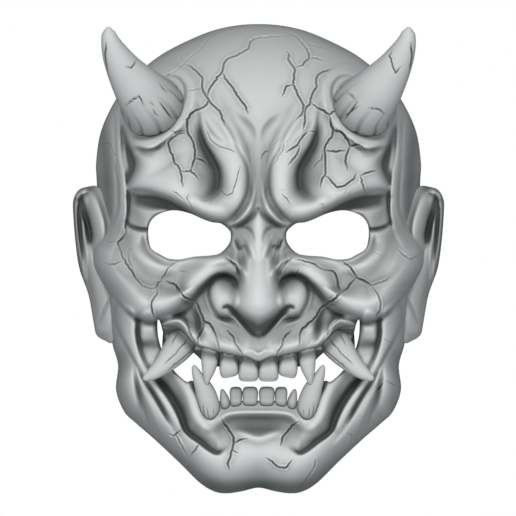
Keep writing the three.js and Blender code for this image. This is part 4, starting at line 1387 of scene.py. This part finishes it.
@dataclass(frozen=True)
class ResinWithPaintedShade:
    """Grey of the bare casting, with painted shade in its hollows and where it turns away from the camera."""

    name: str = "cast_resin"
    light: tuple[float, float, float] = (0.60, 0.605, 0.60)
    # dark: colour of the painted shade in the hollows
    dark: tuple[float, float, float] = (0.028, 0.034, 0.032)
    # edge: colour of the painted shade where the surface turns away from the camera
    edge: tuple[float, float, float] = (0.14, 0.155, 0.15)
    # Painted shade value that gives the darkest mix, and the share of the dark colour in it
    full_dark: float = 0.67
    most_dark: float = 0.92
    # Blend of the painted shade where the surface turns away from the camera
    grazing_shade_blend: float = 0.16
    roughness: float = 0.72
    specular: float = 0.14

    def tint(self) -> bpy.types.ShaderNodeTree:
        """Make the shared effect that paints shade on the casting by how deep each place lies.

        Returns:
            The node group.
        """
        tree = bpy.data.node_groups.new("painted_shade_tint", "ShaderNodeTree")
        for name in ("Light", "Dark"):
            tree.interface.new_socket(name, in_out="INPUT", socket_type="NodeSocketColor")
        tree.interface.new_socket("Color", in_out="OUTPUT", socket_type="NodeSocketColor")
        inp, out = tree.nodes.new("NodeGroupInput"), tree.nodes.new("NodeGroupOutput")
        # Painted shade kept on the vertices mixes the light grey towards the dark colour
        depth = tree.nodes.new("ShaderNodeAttribute")
        depth.attribute_name = "painted_shade"
        span = tree.nodes.new("ShaderNodeMapRange")
        span.inputs["From Min"].default_value, span.inputs["From Max"].default_value = 0.0, self.full_dark
        span.inputs["To Min"].default_value, span.inputs["To Max"].default_value = 0.0, self.most_dark
        mix = tree.nodes.new("ShaderNodeMix")
        mix.data_type = "RGBA"
        tree.links.new(depth.outputs["Fac"], span.inputs["Value"])
        tree.links.new(span.outputs["Result"], mix.inputs["Factor"])
        tree.links.new(inp.outputs["Light"], mix.inputs["A"])
        tree.links.new(inp.outputs["Dark"], mix.inputs["B"])
        tree.links.new(mix.outputs["Result"], out.inputs["Color"])
        return tree

    def material(self) -> bpy.types.Material:
        """Make the material of the casting.

        Returns:
            The material.
        """
        mat = bpy.data.materials.new(self.name)
        mat.use_nodes = True
        nodes, links = mat.node_tree.nodes, mat.node_tree.links
        shader = nodes["Principled BSDF"]
        group = nodes.new("ShaderNodeGroup")
        group.node_tree = self.tint()
        group.inputs["Light"].default_value = (*self.light, 1)
        group.inputs["Dark"].default_value = (*self.dark, 1)
        # Painted shade where the surface turns away from the camera: mixed towards the edge colour
        facing = nodes.new("ShaderNodeLayerWeight")
        facing.inputs["Blend"].default_value = self.grazing_shade_blend
        rim = nodes.new("ShaderNodeMix")
        rim.data_type = "RGBA"
        rim.inputs["B"].default_value = (*self.edge, 1)
        links.new(facing.outputs["Facing"], rim.inputs["Factor"])
        links.new(group.outputs["Color"], rim.inputs["A"])
        links.new(rim.outputs["Result"], shader.inputs["Base Color"])
        shader.inputs["Roughness"].default_value = self.roughness
        shader.inputs["Specular IOR Level"].default_value = self.specular
        return mat


@dataclass(frozen=True)
class PaperFinish:
    """White ground: plain white to the camera, grey to the light that falls on the mask."""

    seen: tuple[float, float, float] = (1, 1, 1)
    lit: tuple[float, float, float] = (0.25, 0.25, 0.25)

    def material(self) -> bpy.types.Material:
        """Make the material of the ground.

        Returns:
            The material.
        """
        mat = bpy.data.materials.new("paper")
        mat.use_nodes = True
        nodes, links = mat.node_tree.nodes, mat.node_tree.links
        nodes.clear()
        out, mix = nodes.new("ShaderNodeOutputMaterial"), nodes.new("ShaderNodeMixShader")
        path, glow = nodes.new("ShaderNodeLightPath"), nodes.new("ShaderNodeEmission")
        flat = nodes.new("ShaderNodeBsdfDiffuse")
        flat.inputs["Color"].default_value = (*self.lit, 1)
        glow.inputs["Color"].default_value = (*self.seen, 1)
        links.new(path.outputs["Is Camera Ray"], mix.inputs["Fac"])
        links.new(flat.outputs["BSDF"], mix.inputs[1])
        links.new(glow.outputs["Emission"], mix.inputs[2])
        links.new(mix.outputs["Shader"], out.inputs["Surface"])
        return mat


class Casting:
    """A sub-assembly of the one casting."""

    def dress(self, piece: bpy.types.Object, material: bpy.types.Material) -> None:
        """Give a piece its finish and its place in the part.

        Args:
            piece: Built piece.
            material: Material of the casting.
        """
        piece.data.materials.clear()
        piece.data.materials.append(material)
        piece.data.shade_smooth()
        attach(piece, "root")
        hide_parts("mask")


@dataclass
class FaceShell(Casting):
    """The hollow shell of the face with its eye holes, mouth and neck arch."""

    carving: Carving
    front_grid: tuple[int, int] = (620, 800)
    back_grid: tuple[int, int] = (110, 150)
    keep: int = 186000
    hollow_low: float = -12.0
    hollow_inset: float = 1.12 * WALL
    hole_low: float = -40
    hole_high: float = 320
    sharp_above: float = 50

    def hollow(self) -> bpy.types.Mesh:
        """Make the body of the space behind the face.

        Returns:
            A closed mesh in metres.
        """
        c = self.carving
        back = c.back(WALL)
        shield = Shield(c.head, *self.back_grid)
        low, inset = self.hollow_low, self.hollow_inset
        return shield.build("hollow", lambda x, y: c.full.read(back, x, y), low, inset)

    def build(self, hollow: bpy.types.Mesh) -> bpy.types.Object:
        """Make the shell.

        Args:
            hollow: Body of the space behind it, which stays as it is.

        Returns:
            The face.
        """
        c = self.carving
        shield = Shield(c.head, *self.front_grid)
        face = to_object("face", shield.build("face", lambda x, y: c.full.read(c.depth, x, y), 0.0))
        eye = spline(EYE, closed=True)[:-1]
        twin = np.column_stack([2 * MID_X - eye[:, 0], eye[:, 1]])
        outlines = (eye, twin, spline(MOUTH_LOOP, closed=True, steps=4)[:-1])
        holes = [prism("hole", line, self.hole_low, self.hole_high) for line in outlines]
        cut(face, [hollow.copy(), *holes, self.arch()], self.keep)
        # Painted shade of the face's hollows and strokes, kept on each vertex
        note_painted_shade(face.data, c.full, c.depth, c.painted_shade)
        return face

    def dress(self, piece: bpy.types.Object, material: bpy.types.Material) -> None:
        """Give the face its finish, with sharp edges kept.

        Args:
            piece: The face.
            material: Material of the casting.
        """
        super().dress(piece, material)
        piece.data.set_sharp_from_angle(angle=math.radians(self.sharp_above))

    @staticmethod
    def arch() -> bpy.types.Mesh:
        """Make the half round bar for the neck, through the lower wall.

        Returns:
            A closed mesh in metres.
        """
        bm = bmesh.new()
        bmesh.ops.create_cone(bm, cap_ends=True, segments=96, radius1=1, radius2=1, depth=1)
        for v in bm.verts:
            y = (NECK_Y + v.co.z * NECK_LENGTH) * SHARE
            v.co = Vector((v.co.x * NECK_HALF * SHARE, y, v.co.y * NECK_RISE * SHARE))
        bmesh.ops.recalc_face_normals(bm, faces=bm.faces)
        return to_mesh("arch", bm)


@dataclass
class Horns(Casting):
    """Both fluted and cracked horns."""

    carving: Carving
    keep: int = 190000

    def build(self, hollow: bpy.types.Mesh) -> bpy.types.Object:
        """Make the horns, trimmed to the outside of the face.

        Args:
            hollow: Body of the space behind the face, which is used up.

        Returns:
            The horns.
        """
        mesh = paired("horns", (HORN,))
        root_in(mesh, self.carving, self.carving.grooved(HORN_GROOVES, HORN_CRACKS))
        horns = to_object("horns", mesh)
        cut(horns, [hollow], self.keep)
        return horns


@dataclass
class Ears(Casting):
    """Both ears, each a plate carved in front."""

    area: tuple[float, float, float, float] = (60, 175, 135, 352)
    step: float = 0.4
    foot: float = 26.0
    edge: float = 27.0
    bulge: float = 14.0
    grid: tuple[int, int] = (110, 190)

    def build(self) -> bpy.types.Object:
        """Make the ears.

        Returns:
            Both ears as one piece.
        """
        polar = Polar(spline(EAR, closed=True), EAR_MIDDLE)
        sheet = Sheet(*self.area, self.step)
        share = np.clip(polar.share(sheet.x, sheet.y), 0, 1)
        climb = EAR_CLIMB * np.clip(sheet.x - EAR_CLIMB_X, 0, None)
        depth = self.edge + self.bulge * (1 - share**5) ** 0.5 + climb
        for s in EAR_STROKES:
            depth += sheet.stroke(s)
        depth = sheet.blur(depth, 0.8)
        mesh = Shield(polar, *self.grid).build("ears", lambda x, y: sheet.read(depth, x, y), self.foot)
        bm = bmesh.new()
        bm.from_mesh(mesh)
        geom = bm.verts[:] + bm.edges[:] + bm.faces[:]
        twin = bmesh.ops.duplicate(bm, geom=geom)["geom"]
        for v in twin:
            if isinstance(v, bmesh.types.BMVert):
                v.co.x *= -1
        bmesh.ops.recalc_face_normals(bm, faces=bm.faces)
        bm.to_mesh(mesh)
        bm.free()
        # Painted shade where the ear's neighbours hide the sky, kept on each vertex
        note_painted_shade(mesh, sheet, depth, sheet.closed(depth), folded=True)
        return to_object("ears", mesh)


@dataclass
class Teeth(Casting):
    """Tusks, fangs, canines and front teeth of both jaws."""

    carving: Carving

    def build(self) -> bpy.types.Object:
        """Make the teeth.

        Returns:
            All teeth as one piece.
        """
        mesh = paired("teeth", SPIKES)
        root_in(mesh, self.carving, self.carving.grooved(TOOTH_GROOVES), self.carving.shaded(TOOTH_PAINTED_SHADE))
        return to_object("teeth", mesh)


@dataclass(frozen=True)
class Lamp:
    """A soft square lamp aimed at the mask."""

    name: str
    spot: tuple[float, float, float]
    size: float
    power: float

    def build(self) -> None:
        """Hang the lamp."""
        data = bpy.data.lights.new(self.name, "AREA")
        data.energy, data.size = self.power, self.size
        lamp = to_object(self.name, data)
        lamp.location = self.spot
        lamp.rotation_euler = (Vector((0, 0, 0.06)) - Vector(self.spot)).to_track_quat("-Z", "Y").to_euler()


@dataclass
class Studio:
    """Floor, lights and camera."""

    distance: float = 11.0
    frame_side: int = 516
    level: float = 0.05
    sensor: float = 36
    floor_half: float = 4
    sky: tuple[float, float, float] = (0.5, 0.52, 0.53)
    sky_strength: float = 1.05
    key: Lamp = Lamp("key", (-0.15, 0.95, 2.5), 1.1, 43)
    fill: Lamp = Lamp("fill", (0.2, -1.6, 2.2), 1.6, 7)

    def build(self) -> None:
        """Make the stage."""
        scene = bpy.context.scene
        bm = bmesh.new()
        bmesh.ops.create_grid(bm, x_segments=1, y_segments=1, size=self.floor_half)
        floor = to_object("floor", to_mesh("floor", bm))
        floor.data.materials.append(PaperFinish().material())
        self.key.build()
        self.fill.build()
        world = bpy.data.worlds.new("world")
        world.use_nodes = True
        light = world.node_tree.nodes["Background"]
        light.inputs["Color"].default_value = (*self.sky, 1)
        light.inputs["Strength"].default_value = self.sky_strength
        scene.world = world
        scene.view_settings.view_transform = "Standard"
        scene.camera = self.camera()

    def camera(self) -> bpy.types.Object:
        """Make the camera that looks down on the lying mask, as wide as the drawing just above the floor.

        Returns:
            The camera.
        """
        data = bpy.data.cameras.new("camera")
        data.sensor_width = self.sensor
        data.lens = self.sensor * (self.distance - self.level) / (self.frame_side * SHARE)
        data.clip_end = 40
        cam = to_object("camera", data)
        middle = self.frame_side / 2
        cam.location = ((middle - MID_X) * SHARE, (MID_Y - middle + SHIFT) * SHARE, self.distance)
        return cam


def main() -> None:
    """Build the mask and its stage."""
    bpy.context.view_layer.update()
    carving = Carving(0.5)
    face = FaceShell(carving)
    hollow = face.hollow()
    horns, ears, teeth = Horns(carving), Ears(), Teeth(carving)
    shell, pair, rows = face.build(hollow), horns.build(hollow), teeth.build()
    made = ((face, shell), (horns, pair), (ears, ears.build()), (teeth, rows))
    material = ResinWithPaintedShade().material()
    for assembly, piece in made:
        assembly.dress(piece, material)
        LOG.info("%s: %d vertices", piece.name, len(piece.data.vertices))
    Studio().build()


if __name__ == "__main__":
    logging.basicConfig(level=logging.INFO)
    main()
